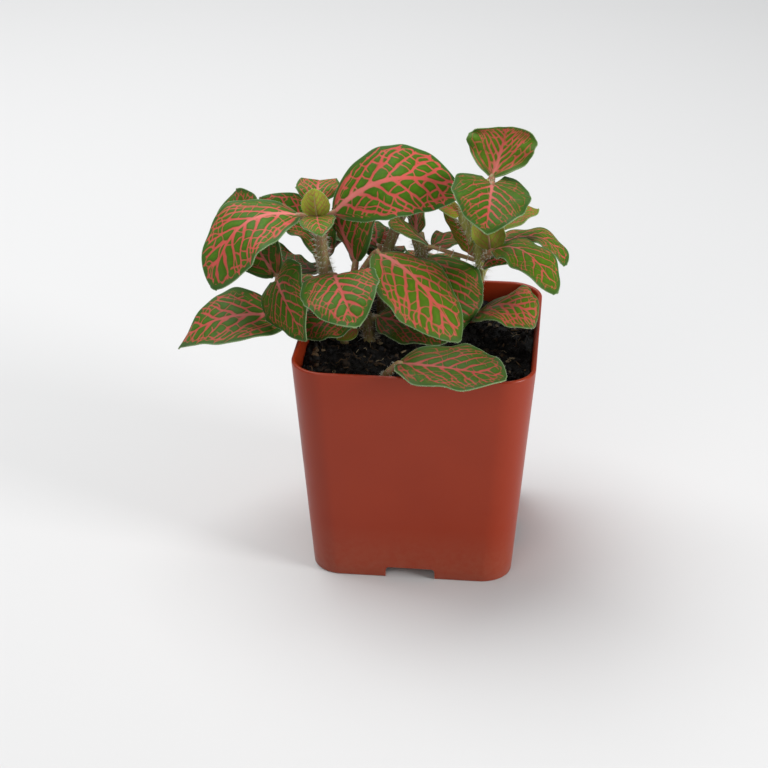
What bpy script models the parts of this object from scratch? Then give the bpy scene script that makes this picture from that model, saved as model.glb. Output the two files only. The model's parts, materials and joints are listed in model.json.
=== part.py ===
# A potted fittonia, the nerve plant, in a small square nursery pot.
#
# The pot is a thin tapered shell on four corner feet. It is filled with soil, and
# seven leafy stems stand in plain holes in that soil. Each stem, with its stalks and
# blades, grew as one piece, so it is one solid.
#
# The tables below are in millimetres, measured from the middle of the pot's foot
# print: X to the right, Y to the back, Z up. The scene itself is in metres.

import math
from collections import namedtuple

import bmesh
import bpy
from mathutils import Vector, noise

MM = 0.001

# The pot: outer sizes of a 55 mm square nursery pot
POT_HEIGHT = 54.5
POT_TOP_HALF = 27.5
POT_FOOT_HALF = 23.3
POT_TOP_RADIUS = 8.1
POT_FOOT_RADIUS = 7.2
WALL = 1.0
FLOOR_LOW = 2.8
FLOOR_THICK = 1.2
NOTCH_WIDTH = 11.5
DRAIN_RADIUS = 2.5
DRAIN_SPREAD = 11.0

# The soil fills the pot to a little under its rim; no piece touches another
GAP = 0.3
SOIL_TOP = 49.5
SOIL_BUMP = 0.9
SOIL_GRAIN = 0.36
BUMPS_EACH_MM = 0.22
GRAINS_EACH_MM = 0.6
SOIL_CELLS = 16

# The stems, their stalks and the blades. A stalk ends inside its blade, this share
# of the way along the midrib, and is never thicker than a share of the blade's width.
STEM_RADIUS = 1.5
STALK_RADIUS = 0.8
STALK_SHARE = 0.16
STALK_SINK = 0.14
BLADE_THICK = 0.7
HOLE_RADIUS = STEM_RADIUS + GAP + 0.12
STEM_FOOT = 40.3
RUFFLES = 5
SLIVER = 0.02

# The plant leans out of the pot, so the pot stands off the middle of the whole
POT_PLACE = Vector((11.46, 0.43, 0.0))

# A blade is three points of its midrib, where its upper face looks, and its width.
# Shoulder and point shape its outline, fold lifts both halves from the midrib, cup
# lowers the margins, lobe carries the base back past the stalk, and wave ruffles
# the margins. Node is the place on the stem where its stalk starts.
Leaf = namedtuple(
    "Leaf",
    "node base bow tip looks width fold cup lobe shoulder point wave cells",
    defaults=(10, 0.12, 0.0, 0.55, 0.75, 0.5, (9, 4)),
)

# Each shoot: its stem's points from the soil up, and its leaves. The stem stands
# straight in its hole up to the first of these points.
SHOOTS = {
    "shoot_left": (
        [(-18, 0.5, 50.5), (-20.5, 0.3, 60), (-22.6, 0, 70), (-23.6, 0, 80), (-23.6, 0.2, 84)],
        [
            Leaf((-23.4, 0, 79.5), (-27.7, -1, 81), (-43.3, -9.4, 87.1), (-46.6, -9.7, 65.7),
                 (0, -0.2, 0.98), 21, fold=-8, cup=-0.07, shoulder=0.67, point=0.65),
            Leaf((-23.4, 0, 79.8), (-20.1, 0, 81.6), (-6.9, -9.2, 99.5), (8.6, 1.8, 87.2),
                 (0.31, -0.6, 0.74), 18.3, fold=-8, cup=-0.04, shoulder=0.6, point=0.59, wave=0.1),
            Leaf((-23.6, 0.5, 81), (-24.1, 3, 82.7), (-24.9, 7.7, 87), (-24.7, 13, 84),
                 (0, -0.5, 0.9), 10.5, cells=(6, 4)),
            Leaf((-23.5, -0.4, 80.5), (-23.5, -2, 81.3), (-23.3, -6.7, 82.8), (-21.2, -10.9, 80.5),
                 (0, -0.5, 0.9), 8.2, cells=(5, 4), wave=0.2),
            Leaf((-23.6, 0.2, 82), (-23.7, -0.6, 82.5), (-24, -3, 85.5), (-24.4, -1.8, 89),
                 (0, 1, -0.2), 7, shoulder=0.5, point=0.5, cells=(5, 2), wave=0),
            Leaf((-21.8, -0.5, 66), (-19.1, -6.6, 69), (-18.1, -16.8, 73.9), (-11.8, -27.3, 66.2),
                 (0.12, -0.87, 0.48), 18.1, fold=11, cup=0.21, shoulder=0.6, point=0.67),
            Leaf((-22.2, 0.3, 67), (-24.4, 4, 68.6), (-25, 12, 74.7), (-39.1, 11.5, 79.9),
                 (0.75, -0.45, 0.5), 13.8, fold=14),
            Leaf((-21.6, 0.5, 64), (-24.3, 4, 65.5), (-35.5, 8.5, 62.8), (-37.5, 16, 67.8),
                 (0, -0.1, 1), 9.5, fold=7, cells=(7, 4)),
            Leaf((-19.8, 1, 57), (-17.5, 5, 57.5), (-17.5, 14, 61), (-19, 24, 54),
                 (0, 0.2, 1), 11, cells=(7, 4)),
        ],
    ),
    "shoot_far_left": (
        [(-20.5, 4, 50.5), (-23, 2.5, 54.5), (-26, 0.5, 58.5), (-29, -0.8, 62.5), (-31, -1.5, 66)],
        [
            Leaf((-30.5, -1.4, 65), (-32.8, -3.4, 66), (-31, -11.1, 66), (-24.4, -16.8, 57.2),
                 (-0.8, -0.2, 0.55), 15.4, fold=7, shoulder=0.4, lobe=2.5),
            Leaf((-30.8, -1.5, 65.5), (-33.8, 1.5, 65), (-42.3, 2.7, 75.9), (-44.7, 12.2, 81),
                 (-0.6, -0.3, 0.75), 15, fold=18),
            Leaf((-26.5, 0.2, 59), (-30.2, -3.5, 56.6), (-47.9, -11.5, 62.4), (-56, -6.5, 48.6),
                 (-0.47, -0.34, 0.81), 18.8, fold=-3, cup=-0.11, shoulder=0.63, point=1.21, wave=0.3),
            Leaf((-25.5, 0.9, 57.8), (-26, 5, 58), (-30, 13, 61), (-34, 20, 56),
                 (0, 0.2, 1), 10.5, cells=(7, 4)),
        ],
    ),
    "shoot_middle": (
        [(-12, 0, 50.5), (-12.8, 0, 56), (-15.2, 0.2, 61.5), (-16, 0.6, 65)],
        [
            Leaf((-15.9, 0.5, 63.6), (-10.6, -0.3, 72.3), (-0.9, -8.5, 73.8), (9.8, -11, 56.1),
                 (0.69, -0.53, 0.49), 20.1, fold=-10, cup=0.03, shoulder=0.76, point=0.69),
            Leaf((-16, 0.6, 64.2), (-15.4, 2, 68.8), (-20.5, 3.3, 79.4), (-20.4, 9.5, 79.5),
                 (-0.79, -0.43, 0.43), 14.6, fold=-14, cup=0.34, point=0.77, cells=(7, 4)),
            Leaf((-12.2, 0, 55), (-10.2, 0.8, 55.6), (-2.5, -2.2, 56), (6.4, -4, 52.4),
                 (0.1, -0.4, 0.9), 12.8, fold=14, cells=(7, 4)),
            Leaf((-12.3, 0, 56.5), (-15.5, -5, 57.9), (-21.7, -10.2, 60.6), (-26.4, -10.4, 55),
                 (0, -0.5, 0.9), 11, cells=(7, 4)),
            Leaf((-12.2, -0.4, 53.6), (-14.5, -3.2, 54), (-17, -4.6, 54), (-19, -5.5, 52.4),
                 (0, -0.4, 1), 5, cells=(4, 2), wave=0),
        ],
    ),
    "shoot_back": (
        [(-10, 9, 50.5), (-9.8, 9.6, 60), (-9.3, 10, 67), (-7, 10.3, 74), (-5.5, 11, 79),
         (-5.3, 11.2, 82)],
        [
            Leaf((-9.4, 10, 66), (-11, 12, 68.5), (-18, 19, 74), (-25, 25, 60),
                 (-0.2, 0.2, 1), 15),
            Leaf((-9.6, 10, 63.5), (-9.2, 12.5, 64.8), (-10.5, 21, 67), (-12.5, 30, 58),
                 (0, 0.2, 1), 10.5, cells=(7, 4)),
            Leaf((-5.4, 11, 79), (-6.3, 14.8, 81.6), (-9.3, 24, 90), (-10.5, 33, 80),
                 (0, 0.1, 1), 14.5, shoulder=0.75),
            Leaf((-5.6, 11, 78.5), (-9, 11.4, 80.1), (-15, 13, 85.8), (-19.5, 12.6, 79.6),
                 (0, -0.2, 1), 11, cells=(7, 4)),
            Leaf((-5.3, 11.1, 80.5), (-3.5, 10, 82.5), (1.5, 8, 87.5), (4.5, 9, 84.5),
                 (0, -0.2, 1), 7, cells=(5, 2), wave=0.2),
        ],
    ),
    "shoot_back_right": (
        [(2, 12, 50.5), (0.8, 12.3, 58), (-0.6, 12.8, 65), (-1.8, 13, 70), (-2, 13.1, 72)],
        [
            Leaf((-2, 13.1, 70.5), (-2.2, 13.4, 72), (-2.4, 13.8, 76), (-2.4, 16, 80),
                 (-0.8, -0.6, 0.2), 7.5, cells=(6, 4), wave=0.2),
            Leaf((0.3, 12.5, 61), (0.3, 6.4, 67.8), (8, -2.7, 65.4), (9.9, -2.2, 55),
                 (0, -0.3, 0.95), 18.6, fold=4, shoulder=0.58, lobe=1),
            Leaf((-1, 13, 67), (1.5, 14.2, 68.3), (6.5, 18, 71), (10.5, 22, 65),
                 (0.2, 0.1, 1), 9, cells=(7, 4)),
            Leaf((0, 13.2, 61), (0.6, 16, 60.8), (1, 25, 64), (0.5, 34.8, 56),
                 (0, 0.2, 1), 14),
            Leaf((1.2, 12.4, 56), (4, 14.5, 56.2), (8, 19.5, 58.8), (9.5, 25, 56.8),
                 (0.2, 0.2, 1), 9, cells=(7, 4)),
        ],
    ),
    "shoot_right": (
        [(9.5, 14, 50.5), (11, 13, 57), (12.8, 10.4, 63.1), (13.4, 7.2, 68.5), (11.3, 4.2, 75.5),
         (9.4, 2.6, 82), (12.2, 1.2, 87), (15.4, 0.5, 90)],
        [
            Leaf((15.2, 0.6, 89.8), (15.5, 1.2, 91.3), (18.2, 5.9, 98.2), (18, 6.9, 101.2),
                 (-0.3, -0.8, 0.5), 17.3, fold=15, shoulder=0.6, point=0.45),
            Leaf((15.2, 0.4, 89.8), (15.6, -1.4, 90.6), (15.7, -11.7, 90.2), (15.2, -17.4, 85.3),
                 (0.15, -0.6, 0.8), 18.3, fold=17, shoulder=0.42, lobe=3),
            Leaf((9.5, 2.6, 81), (8.2, 2.2, 81.6), (6.5, 1.8, 83.6), (3.4, 1.2, 83.4),
                 (0.1, -0.3, 1), 6, cells=(4, 2), wave=0),
            Leaf((13.3, 7.6, 67.8), (1.3, 4.8, 72.4), (-4.7, 4.2, 77.7), (-7.9, 4.8, 78.2),
                 (0, 0, 1), 7.4, fold=6, shoulder=0.9, point=0.45, wave=0.1, cells=(8, 4)),
            Leaf((13.2, 7, 69.2), (10.6, 4.4, 71.4), (11, 6.8, 75), (4.5, 5.3, 81),
                 (-0.8, -0.4, 0.4), 8, fold=15, wave=0.1, cells=(7, 4)),
            Leaf((12.8, 6.2, 70.8), (15.4, 3, 72.8), (15.2, -0.2, 79), (14, -0.5, 84),
                 (0, 0.95, 0.3), 8, fold=12, cup=0.3, cells=(5, 4), wave=0.2),
            Leaf((13.5, 7, 68.6), (16.2, -2.6, 75), (24.4, -4.1, 80), (31, -12.3, 69.5),
                 (0, 0, 1), 13, fold=1, cup=0.08, point=0.69),
            Leaf((13.3, 7, 69), (16.7, 5.5, 72.9), (28.3, 9.1, 78.1), (32.6, 5.6, 68.6),
                 (-0.06, 0.05, 1), 11.2, shoulder=0.65),
            Leaf((12.3, 5.6, 72), (16.2, 4.2, 76.6), (22, 6.5, 81.6), (25.7, 11, 80),
                 (0, 0, 1), 7.8, cells=(7, 4), wave=0.3),
            Leaf((13.2, 8.4, 66.4), (14.1, 3.8, 68), (15.6, 0.6, 72.6), (20, 0, 71),
                 (0, -0.6, 0.8), 3.8, cells=(5, 2), wave=0),
            Leaf((12.5, 6, 71.4), (13.3, 7.9, 72.2), (12.6, 15, 76.2), (12, 24, 65.5),
                 (0, 0.3, 1), 11, cells=(8, 4)),
            Leaf((10.1, 13.6, 53.4), (10.8, 8.8, 52.4), (21.4, 0, 64.9), (26.5, 1.7, 55.6),
                 (0.25, -0.25, 0.95), 16.5, fold=8, point=0.5, cells=(8, 4)),
        ],
    ),
    "shoot_front": (
        [(-6.5, -21.5, 50.5), (-6, -21.7, 52), (-5, -22, 53.4)],
        [
            Leaf((-5.2, -22, 53), (-3, -22, 55.2), (10.2, -28.6, 58.1), (21.2, -30.2, 56.8),
                 (0, -0.15, 1), 17.8, fold=12, shoulder=0.5, point=0.6),
        ],
    ),
}


def clear_scene():
    """Take the scene's objects away, so that the plant starts from nothing."""
    for thing in list(bpy.data.objects):
        bpy.data.objects.remove(thing)


def make_material(name, colour, roughness):
    """A plain Principled surface; the colour is linear red, green and blue."""
    material = bpy.data.materials.new(name)
    material.use_nodes = True
    surface = material.node_tree.nodes["Principled BSDF"]
    surface.inputs["Base Color"].default_value = (*colour, 1.0)
    surface.inputs["Roughness"].default_value = roughness
    surface.inputs["Metallic"].default_value = 0.0
    return material


def object_from_bmesh(name, form, collection):
    """Turn a bmesh into an object of the collection, with triangles and outward faces."""
    bmesh.ops.triangulate(form, faces=form.faces[:])
    bmesh.ops.recalc_face_normals(form, faces=form.faces[:])
    mesh = bpy.data.meshes.new(name)
    form.to_mesh(mesh)
    form.free()
    thing = bpy.data.objects.new(name, mesh)
    collection.objects.link(thing)
    return thing


def bake(thing):
    """Replace an object's mesh by its evaluated one, and drop its modifiers."""
    bpy.context.view_layer.update()
    evaluated = thing.evaluated_get(bpy.context.evaluated_depsgraph_get())
    mesh = bpy.data.meshes.new_from_object(evaluated)
    thing.modifiers.clear()
    old = thing.data
    thing.data = mesh
    bpy.data.meshes.remove(old)


def combine(body, others, operation, solver="EXACT"):
    """Join or cut a body with every object of a collection, then remove those objects."""
    boolean = body.modifiers.new("combine", "BOOLEAN")
    boolean.operation = operation
    boolean.operand_type = "COLLECTION"
    boolean.collection = others
    boolean.solver = solver
    bake(body)
    for other in list(others.objects):
        bpy.data.objects.remove(other)


def keep_main_body(thing):
    """Keep the largest connected body, so that no pocket or scrap is left, and weld slivers."""
    form = bmesh.new()
    form.from_mesh(thing.data)
    waiting = set(form.verts)
    bodies = []
    while waiting:
        reached = [waiting.pop()]
        for point in reached:
            for edge in point.link_edges:
                other = edge.other_vert(point)
                if other in waiting:
                    waiting.remove(other)
                    reached.append(other)
        bodies.append(reached)
    bodies.sort(key=len)
    for scrap in bodies[:-1]:
        bmesh.ops.delete(form, geom=scrap, context="VERTS")
    bmesh.ops.triangulate(form, faces=form.faces[:])
    bmesh.ops.remove_doubles(form, verts=form.verts[:], dist=SLIVER * MM)
    bmesh.ops.dissolve_degenerate(form, edges=form.edges[:], dist=SLIVER * MM)
    form.to_mesh(thing.data)
    form.free()


def pot_half(height, inset):
    """Half the pot's width at a height, less an inset from its outer face."""
    share = height / POT_HEIGHT
    return POT_FOOT_HALF + (POT_TOP_HALF - POT_FOOT_HALF) * share - inset


def corner_radius(height, inset):
    """The radius of the pot's upright corners at a height, less an inset."""
    share = height / POT_HEIGHT
    return POT_FOOT_RADIUS + (POT_TOP_RADIUS - POT_FOOT_RADIUS) * share - inset


def rounded(value_x, value_y, half, radius):
    """Carry a point of the unit square to a square with round corners."""
    straight = (half - radius) / half
    over_x = (abs(value_x) - straight) / (1 - straight)
    over_y = (abs(value_y) - straight) / (1 - straight)
    if over_x > 0 and over_y > 0:
        round_x = over_x * math.sqrt(1 - over_y ** 2 / 2)
        round_y = over_y * math.sqrt(1 - over_x ** 2 / 2)
        value_x = math.copysign(straight + round_x * (1 - straight), value_x)
        value_y = math.copysign(straight + round_y * (1 - straight), value_y)
    return value_x * half, value_y * half


def tapered_block(name, low, high, inset, collection):
    """A square block that follows the pot's taper between two heights."""
    form = bmesh.new()
    bmesh.ops.create_cube(form, size=2.0)
    for corner in form.verts:
        height = high if corner.co.z > 0 else low
        half = pot_half(height, inset)
        corner.co = Vector((corner.co.x * half, corner.co.y * half, height)) * MM
    upright = [edge for edge in form.edges if abs(edge.verts[0].co.z - edge.verts[1].co.z) > MM]
    middle = (low + high) / 2
    bmesh.ops.bevel(form, geom=upright, offset=corner_radius(middle, inset) * MM,
                    segments=6, profile=0.5, affect="EDGES")
    return object_from_bmesh(name, form, collection)


def box(name, size, centre, collection):
    """A plain box from its three sizes and its centre."""
    form = bmesh.new()
    bmesh.ops.create_cube(form, size=1.0)
    bmesh.ops.scale(form, vec=Vector(size) * MM, verts=form.verts[:])
    bmesh.ops.translate(form, vec=Vector(centre) * MM, verts=form.verts[:])
    return object_from_bmesh(name, form, collection)


def upright_cylinder(name, radius, low, high, place, collection, sides=12):
    """A plain upright cylinder between two heights."""
    form = bmesh.new()
    bmesh.ops.create_cone(form, cap_ends=True, segments=sides, radius1=radius * MM,
                          radius2=radius * MM, depth=(high - low) * MM)
    centre = Vector((place[0], place[1], (low + high) / 2)) * MM
    bmesh.ops.translate(form, vec=centre, verts=form.verts[:])
    return object_from_bmesh(name, form, collection)


def build_pot(parts, cutters):
    """The shell: a tapered block, hollowed from above and below, on four corner feet."""
    floor_top = FLOOR_LOW + FLOOR_THICK
    over = 2.0
    pot = tapered_block("pot", 0.0, POT_HEIGHT, 0.0, parts)
    tapered_block("inside", floor_top, POT_HEIGHT + over, WALL, cutters)
    tapered_block("below_floor", -over, FLOOR_LOW, WALL, cutters)
    across = 2 * POT_TOP_HALF
    notch_height = FLOOR_LOW + over
    notch_middle = (FLOOR_LOW - over) / 2
    box("notch_x", (across, NOTCH_WIDTH, notch_height), (0, 0, notch_middle), cutters)
    box("notch_y", (NOTCH_WIDTH, across, notch_height), (0, 0, notch_middle), cutters)
    drains = [(0, 0)]
    for side_x in (-1, 1):
        for side_y in (-1, 1):
            drains.append((side_x * DRAIN_SPREAD, side_y * DRAIN_SPREAD))
    for index, place in enumerate(drains):
        upright_cylinder(f"drain_{index}", DRAIN_RADIUS, 0.0, floor_top + over, place, cutters)
    combine(pot, cutters, "DIFFERENCE")
    return pot


def soil_height(place_x, place_y):
    """The bumpy top of the soil, flat towards the wall."""
    place = Vector((place_x, place_y, 0))
    bumps = noise.noise(place * BUMPS_EACH_MM + Vector((0, 0, 3.7)))
    grains = noise.noise(place * GRAINS_EACH_MM + Vector((0, 0, 9.1)))
    return SOIL_TOP + SOIL_BUMP * bumps + SOIL_GRAIN * grains


def build_soil(parts, cutters):
    """A tapered plug with a bumpy top and a plain hole for each stem."""
    inset = WALL + GAP
    bottom = FLOOR_LOW + FLOOR_THICK + GAP
    half = pot_half(SOIL_TOP - SOIL_BUMP, inset)
    radius = corner_radius(SOIL_TOP, inset)
    form = bmesh.new()
    bmesh.ops.create_grid(form, x_segments=SOIL_CELLS, y_segments=SOIL_CELLS, size=1.0)
    top = form.faces[:]
    for point in form.verts:
        place_x, place_y = rounded(point.co.x, point.co.y, half, radius)
        point.co = Vector((place_x, place_y, soil_height(place_x, place_y))) * MM
    pulled = bmesh.ops.extrude_face_region(form, geom=top)["geom"]
    shrink = pot_half(bottom, inset) / half
    lower = [piece for piece in pulled if isinstance(piece, bmesh.types.BMVert)]
    for point in lower:
        point.co = Vector((point.co.x * shrink, point.co.y * shrink, bottom * MM))
    flat = [piece for piece in pulled if isinstance(piece, bmesh.types.BMFace)]
    bmesh.ops.dissolve_faces(form, faces=flat)
    soil = object_from_bmesh("soil", form, parts)
    for name, (stem, _) in SHOOTS.items():
        upright_cylinder(f"hole_{name}", HOLE_RADIUS, STEM_FOOT - GAP, SOIL_TOP + 5,
                         stem[0], cutters)
    combine(soil, cutters, "DIFFERENCE")
    return soil


def tube(name, points, radius, rounding, collection):
    """A round tube along straight runs between its points, as a closed mesh."""
    curve = bpy.data.curves.new(name, "CURVE")
    curve.dimensions = "3D"
    curve.bevel_depth = radius * MM
    curve.bevel_resolution = rounding
    curve.use_fill_caps = True
    run = curve.splines.new("POLY")
    run.points.add(len(points) - 1)
    for knot, point in zip(run.points, points):
        knot.co = (*(Vector(point) * MM), 1.0)
    guide = bpy.data.objects.new(name, curve)
    collection.objects.link(guide)
    bpy.context.view_layer.update()
    evaluated = guide.evaluated_get(bpy.context.evaluated_depsgraph_get())
    mesh = bpy.data.meshes.new_from_object(evaluated)
    bpy.data.objects.remove(guide)
    form = bmesh.new()
    form.from_mesh(mesh)
    bpy.data.meshes.remove(mesh)
    bmesh.ops.remove_doubles(form, verts=form.verts[:], dist=0.01 * MM)
    return object_from_bmesh(name, form, collection)


def midrib(leaf, along):
    """The midrib's point and direction, on the arc that its three points draw."""
    base, bow, tip = Vector(leaf.base), Vector(leaf.bow), Vector(leaf.tip)
    rest = 1 - along
    point = rest * rest * base + 2 * rest * along * bow + along * along * tip
    ahead = rest * (bow - base) + along * (tip - bow)
    return point, ahead.normalized()


def blade_outline(leaf, along):
    """The blade's half width, as a share of the most: round base, drawn-out tip."""
    along = min(max(along, 0.02), 0.985)
    widest = leaf.shoulder / (leaf.shoulder + leaf.point)
    return (along / widest) ** leaf.shoulder * ((1 - along) / (1 - widest)) ** leaf.point


def blade_point(leaf, along, across, phase):
    """A point of the blade: along 0 to 1 from base to tip, across -1 to 1."""
    point, ahead = midrib(leaf, along)
    looks = Vector(leaf.looks)
    up = (looks - looks.dot(ahead) * ahead).normalized()
    left = up.cross(ahead)
    reach = leaf.width / 2 * blade_outline(leaf, along) * abs(across)
    side = math.copysign(1, across)
    fold = math.radians(leaf.fold)
    ruffle = leaf.wave * across ** 2 * math.sin(RUFFLES * math.pi * along + phase * side)
    rise = reach * math.sin(fold) - leaf.cup * reach ** 2 / (leaf.width / 2) + ruffle
    start = midrib(leaf, 0)[1]
    back = leaf.lobe * across ** 2 * (1 - along) ** 3
    return point + left * (side * reach * math.cos(fold)) + up * rise - start * back


def blade(name, leaf, phase, collection):
    """One blade: a flat grid laid on the leaf's surface, then given its thickness."""
    rows, columns = leaf.cells
    form = bmesh.new()
    bmesh.ops.create_grid(form, x_segments=columns, y_segments=rows, size=1.0)
    for point in form.verts:
        along = 0.5 - 0.5 * math.cos(math.pi * (point.co.y + 1) / 2)
        point.co = blade_point(leaf, along, point.co.x, phase) * MM
    bmesh.ops.triangulate(form, faces=form.faces[:])
    mesh = bpy.data.meshes.new(name)
    form.to_mesh(mesh)
    form.free()
    thing = bpy.data.objects.new(name, mesh)
    collection.objects.link(thing)
    skin = thing.modifiers.new("thickness", "SOLIDIFY")
    skin.thickness = BLADE_THICK * MM
    skin.offset = 0.0
    bake(thing)
    return thing


def build_shoot(name, stem, leaves, parts, pieces):
    """One leafy stem: its stem, with every stalk and blade joined to it.

    The exact solver leaves a few open edges where many thin blades meet, so these
    closed pieces are joined by the manifold solver.
    """
    foot = (stem[0][0], stem[0][1], STEM_FOOT)
    body = tube(name, [foot, *stem], STEM_RADIUS, 2, parts)
    for index, leaf in enumerate(leaves):
        sunk = midrib(leaf, STALK_SINK)[0]
        radius = min(STALK_RADIUS, STALK_SHARE * leaf.width)
        tube(f"stalk_{index}", [leaf.node, leaf.base, sunk], radius, 1, pieces)
        blade(f"blade_{index}", leaf, 1.7 * index, pieces)
    combine(body, pieces, "UNION", "MANIFOLD")
    keep_main_body(body)
    return body


def build():
    """Make every piece, colour it, and stand the pot's centre at its place."""
    clear_scene()
    parts = bpy.data.collections.new("potted_fittonia")
    cutters = bpy.data.collections.new("cutters")
    pieces = bpy.data.collections.new("pieces_to_join")
    for collection in (parts, cutters, pieces):
        bpy.context.scene.collection.children.link(collection)
    plastic = make_material("terracotta_plastic", (0.30, 0.062, 0.034), 0.38)
    potting_soil = make_material("potting_soil", (0.012, 0.009, 0.007), 0.95)
    leaf_green = make_material("leaf_green", (0.075, 0.14, 0.035), 0.55)
    centre = bpy.data.objects.new("pot_centre", None)
    parts.objects.link(centre)
    centre.location = POT_PLACE * MM
    made = [(build_pot(parts, cutters), plastic), (build_soil(parts, cutters), potting_soil)]
    for name, (stem, leaves) in SHOOTS.items():
        made.append((build_shoot(name, stem, leaves, parts, pieces), leaf_green))
    for thing, material in made:
        thing.data.materials.clear()
        thing.data.materials.append(material)
        thing.data.shade_smooth()
        thing.data.set_sharp_from_angle(angle=math.radians(35))
        thing.parent = centre


build()
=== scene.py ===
# %% [markdown]
# # A potted nerve plant
#
# This lesson dresses a small fittonia, the nerve plant: a square plastic nursery pot,
# dark potting soil, and seven leafy stems with pink-veined leaves. The frame gives the
# solids, which are right in size and place but plain. Each one is replaced by a finer
# mesh with a surface of its own, and none of them is moved.

import json
import math
from collections import namedtuple

import bmesh
import bpy
import numpy as np
from mathutils import Matrix, Quaternion, Vector, noise

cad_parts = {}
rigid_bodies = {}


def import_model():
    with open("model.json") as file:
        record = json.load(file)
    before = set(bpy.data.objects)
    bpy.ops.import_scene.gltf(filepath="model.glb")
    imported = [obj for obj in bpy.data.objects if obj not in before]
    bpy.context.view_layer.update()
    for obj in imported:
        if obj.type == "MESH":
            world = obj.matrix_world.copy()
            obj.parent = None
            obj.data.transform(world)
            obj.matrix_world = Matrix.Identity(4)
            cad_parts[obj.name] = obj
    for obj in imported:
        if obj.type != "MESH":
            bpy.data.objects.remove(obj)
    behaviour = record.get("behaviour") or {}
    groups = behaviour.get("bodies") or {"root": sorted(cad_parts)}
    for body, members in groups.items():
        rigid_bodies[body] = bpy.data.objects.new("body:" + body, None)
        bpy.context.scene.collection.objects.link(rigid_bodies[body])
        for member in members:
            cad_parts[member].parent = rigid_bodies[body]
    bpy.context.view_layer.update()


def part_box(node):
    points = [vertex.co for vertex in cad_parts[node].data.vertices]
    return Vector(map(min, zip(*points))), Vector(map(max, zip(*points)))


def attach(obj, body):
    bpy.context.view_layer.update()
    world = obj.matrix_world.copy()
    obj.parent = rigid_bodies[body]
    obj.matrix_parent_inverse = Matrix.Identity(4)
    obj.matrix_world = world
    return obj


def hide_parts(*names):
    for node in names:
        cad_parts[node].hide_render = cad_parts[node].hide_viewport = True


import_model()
MM = 0.001
pot_low, pot_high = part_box("pot")
POT_CENTRE = Vector(((pot_low.x + pot_high.x) / 2, (pot_low.y + pot_high.y) / 2, 0.0))
print("pot centre in mm", [round(value / MM, 2) for value in POT_CENTRE])

# %% [markdown]
# Colours are given as sRGB hex values, the way a paint chart gives them. The
# shader works in linear light, so one function turns each value over. A second function
# adds a shader node with its settings and links, and every material below is made with
# it, from the first texture to the Principled surface that the eye sees.

# %% Colours and nodes


def linear(colour, alpha=1.0):
    """An sRGB hex colour such as "#96463A" as linear red, green, blue and alpha."""
    values = []
    for start in (1, 3, 5):
        share = int(colour[start:start + 2], 16) / 255
        low = share / 12.92
        high = ((share + 0.055) / 1.055) ** 2.4
        values.append(low if share <= 0.04045 else high)
    return (*values, alpha)


def add(tree, kind, inputs=(), **settings):
    """Add a node, set its properties, and link or set its inputs in their order."""
    made = tree.nodes.new("ShaderNode" + kind)
    for name, value in settings.items():
        setattr(made, name, value)
    pairs = inputs.items() if isinstance(inputs, dict) else enumerate(inputs)
    for key, value in pairs:
        if value is None:
            continue
        if isinstance(value, bpy.types.Node):
            value = value.outputs[0]
        if isinstance(value, bpy.types.NodeSocket):
            tree.links.new(value, made.inputs[key])
        else:
            made.inputs[key].default_value = value
    return made


def new_material(name):
    """A material and its node tree, which is still empty."""
    material = bpy.data.materials.new(name)
    material.use_nodes = True
    material.node_tree.nodes.clear()
    return material, material.node_tree


def new_object(name, points, faces, materials, smooth_angle=40):
    """A mesh object from points in metres, shaded smooth up to an angle in degrees."""
    mesh = bpy.data.meshes.new(name)
    mesh.from_pydata(points, [], faces)
    mesh.update()
    for material in materials:
        mesh.materials.append(material)
    mesh.shade_smooth()
    mesh.set_sharp_from_angle(angle=math.radians(smooth_angle))
    thing = bpy.data.objects.new(name, mesh)
    bpy.context.scene.collection.objects.link(thing)
    return thing


print("mid grey in linear light", round(linear("#808080")[0], 3))

# %% [markdown]
# The picture is taken with a long lens from a little above the rim, slightly to the
# right. Its place was worked out from the edges of the pot, in millimetres from the
# pot's centre, as are all sizes and places in this lesson.

# %% Camera
CAMERA_PLACE = Vector((34.318, -418.309, 253.054))
CAMERA_TARGET = Vector((-8.564, 0.0, 38.709))
CAMERA_ROLL = math.radians(0.1389)
LENS = 93.75

lens = bpy.data.cameras.new("photo_camera")
lens.lens = LENS
lens.sensor_width = 36.0
lens.clip_start = 0.01
camera = bpy.data.objects.new("photo_camera", lens)
bpy.context.scene.collection.objects.link(camera)
looking = (CAMERA_TARGET - CAMERA_PLACE).to_track_quat("-Z", "Y")
camera.rotation_mode = "QUATERNION"
camera.rotation_quaternion = looking @ Quaternion((0, 0, 1), CAMERA_ROLL)
camera.location = POT_CENTRE + CAMERA_PLACE * MM
bpy.context.scene.camera = camera
print("camera distance in mm", round((CAMERA_TARGET - CAMERA_PLACE).length, 1))

# %% [markdown]
# The floor is a plain pale sheet, and the light is soft: a large panel high up behind
# the left shoulder of the plant, a small one low on the right, a weak one in front, and
# a pale sky that fills the shadows. Panels give the soft edge that a studio tent does.

# %% Floor and light
FLOOR_HALF = 2.5
floor_points = [(-FLOOR_HALF, -FLOOR_HALF, 0), (FLOOR_HALF, -FLOOR_HALF, 0),
                (FLOOR_HALF, FLOOR_HALF, 0), (-FLOOR_HALF, FLOOR_HALF, 0)]
paper, tree = new_material("matt_paper")
dull = {"Base Color": linear("#D2D2D2"), "Roughness": 0.9, "Specular IOR Level": 0.1}
add(tree, "OutputMaterial", [add(tree, "BsdfPrincipled", dull)])
floor = new_object("floor", floor_points, [(0, 1, 2, 3)], [paper])

sky = bpy.data.worlds.new("soft_sky")
sky.use_nodes = True
glow = sky.node_tree.nodes["Background"].inputs
glow["Color"].default_value = linear("#F4F7FB")
glow["Strength"].default_value = 0.25
bpy.context.scene.world = sky
bpy.context.scene.view_settings.view_transform = "Standard"

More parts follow.
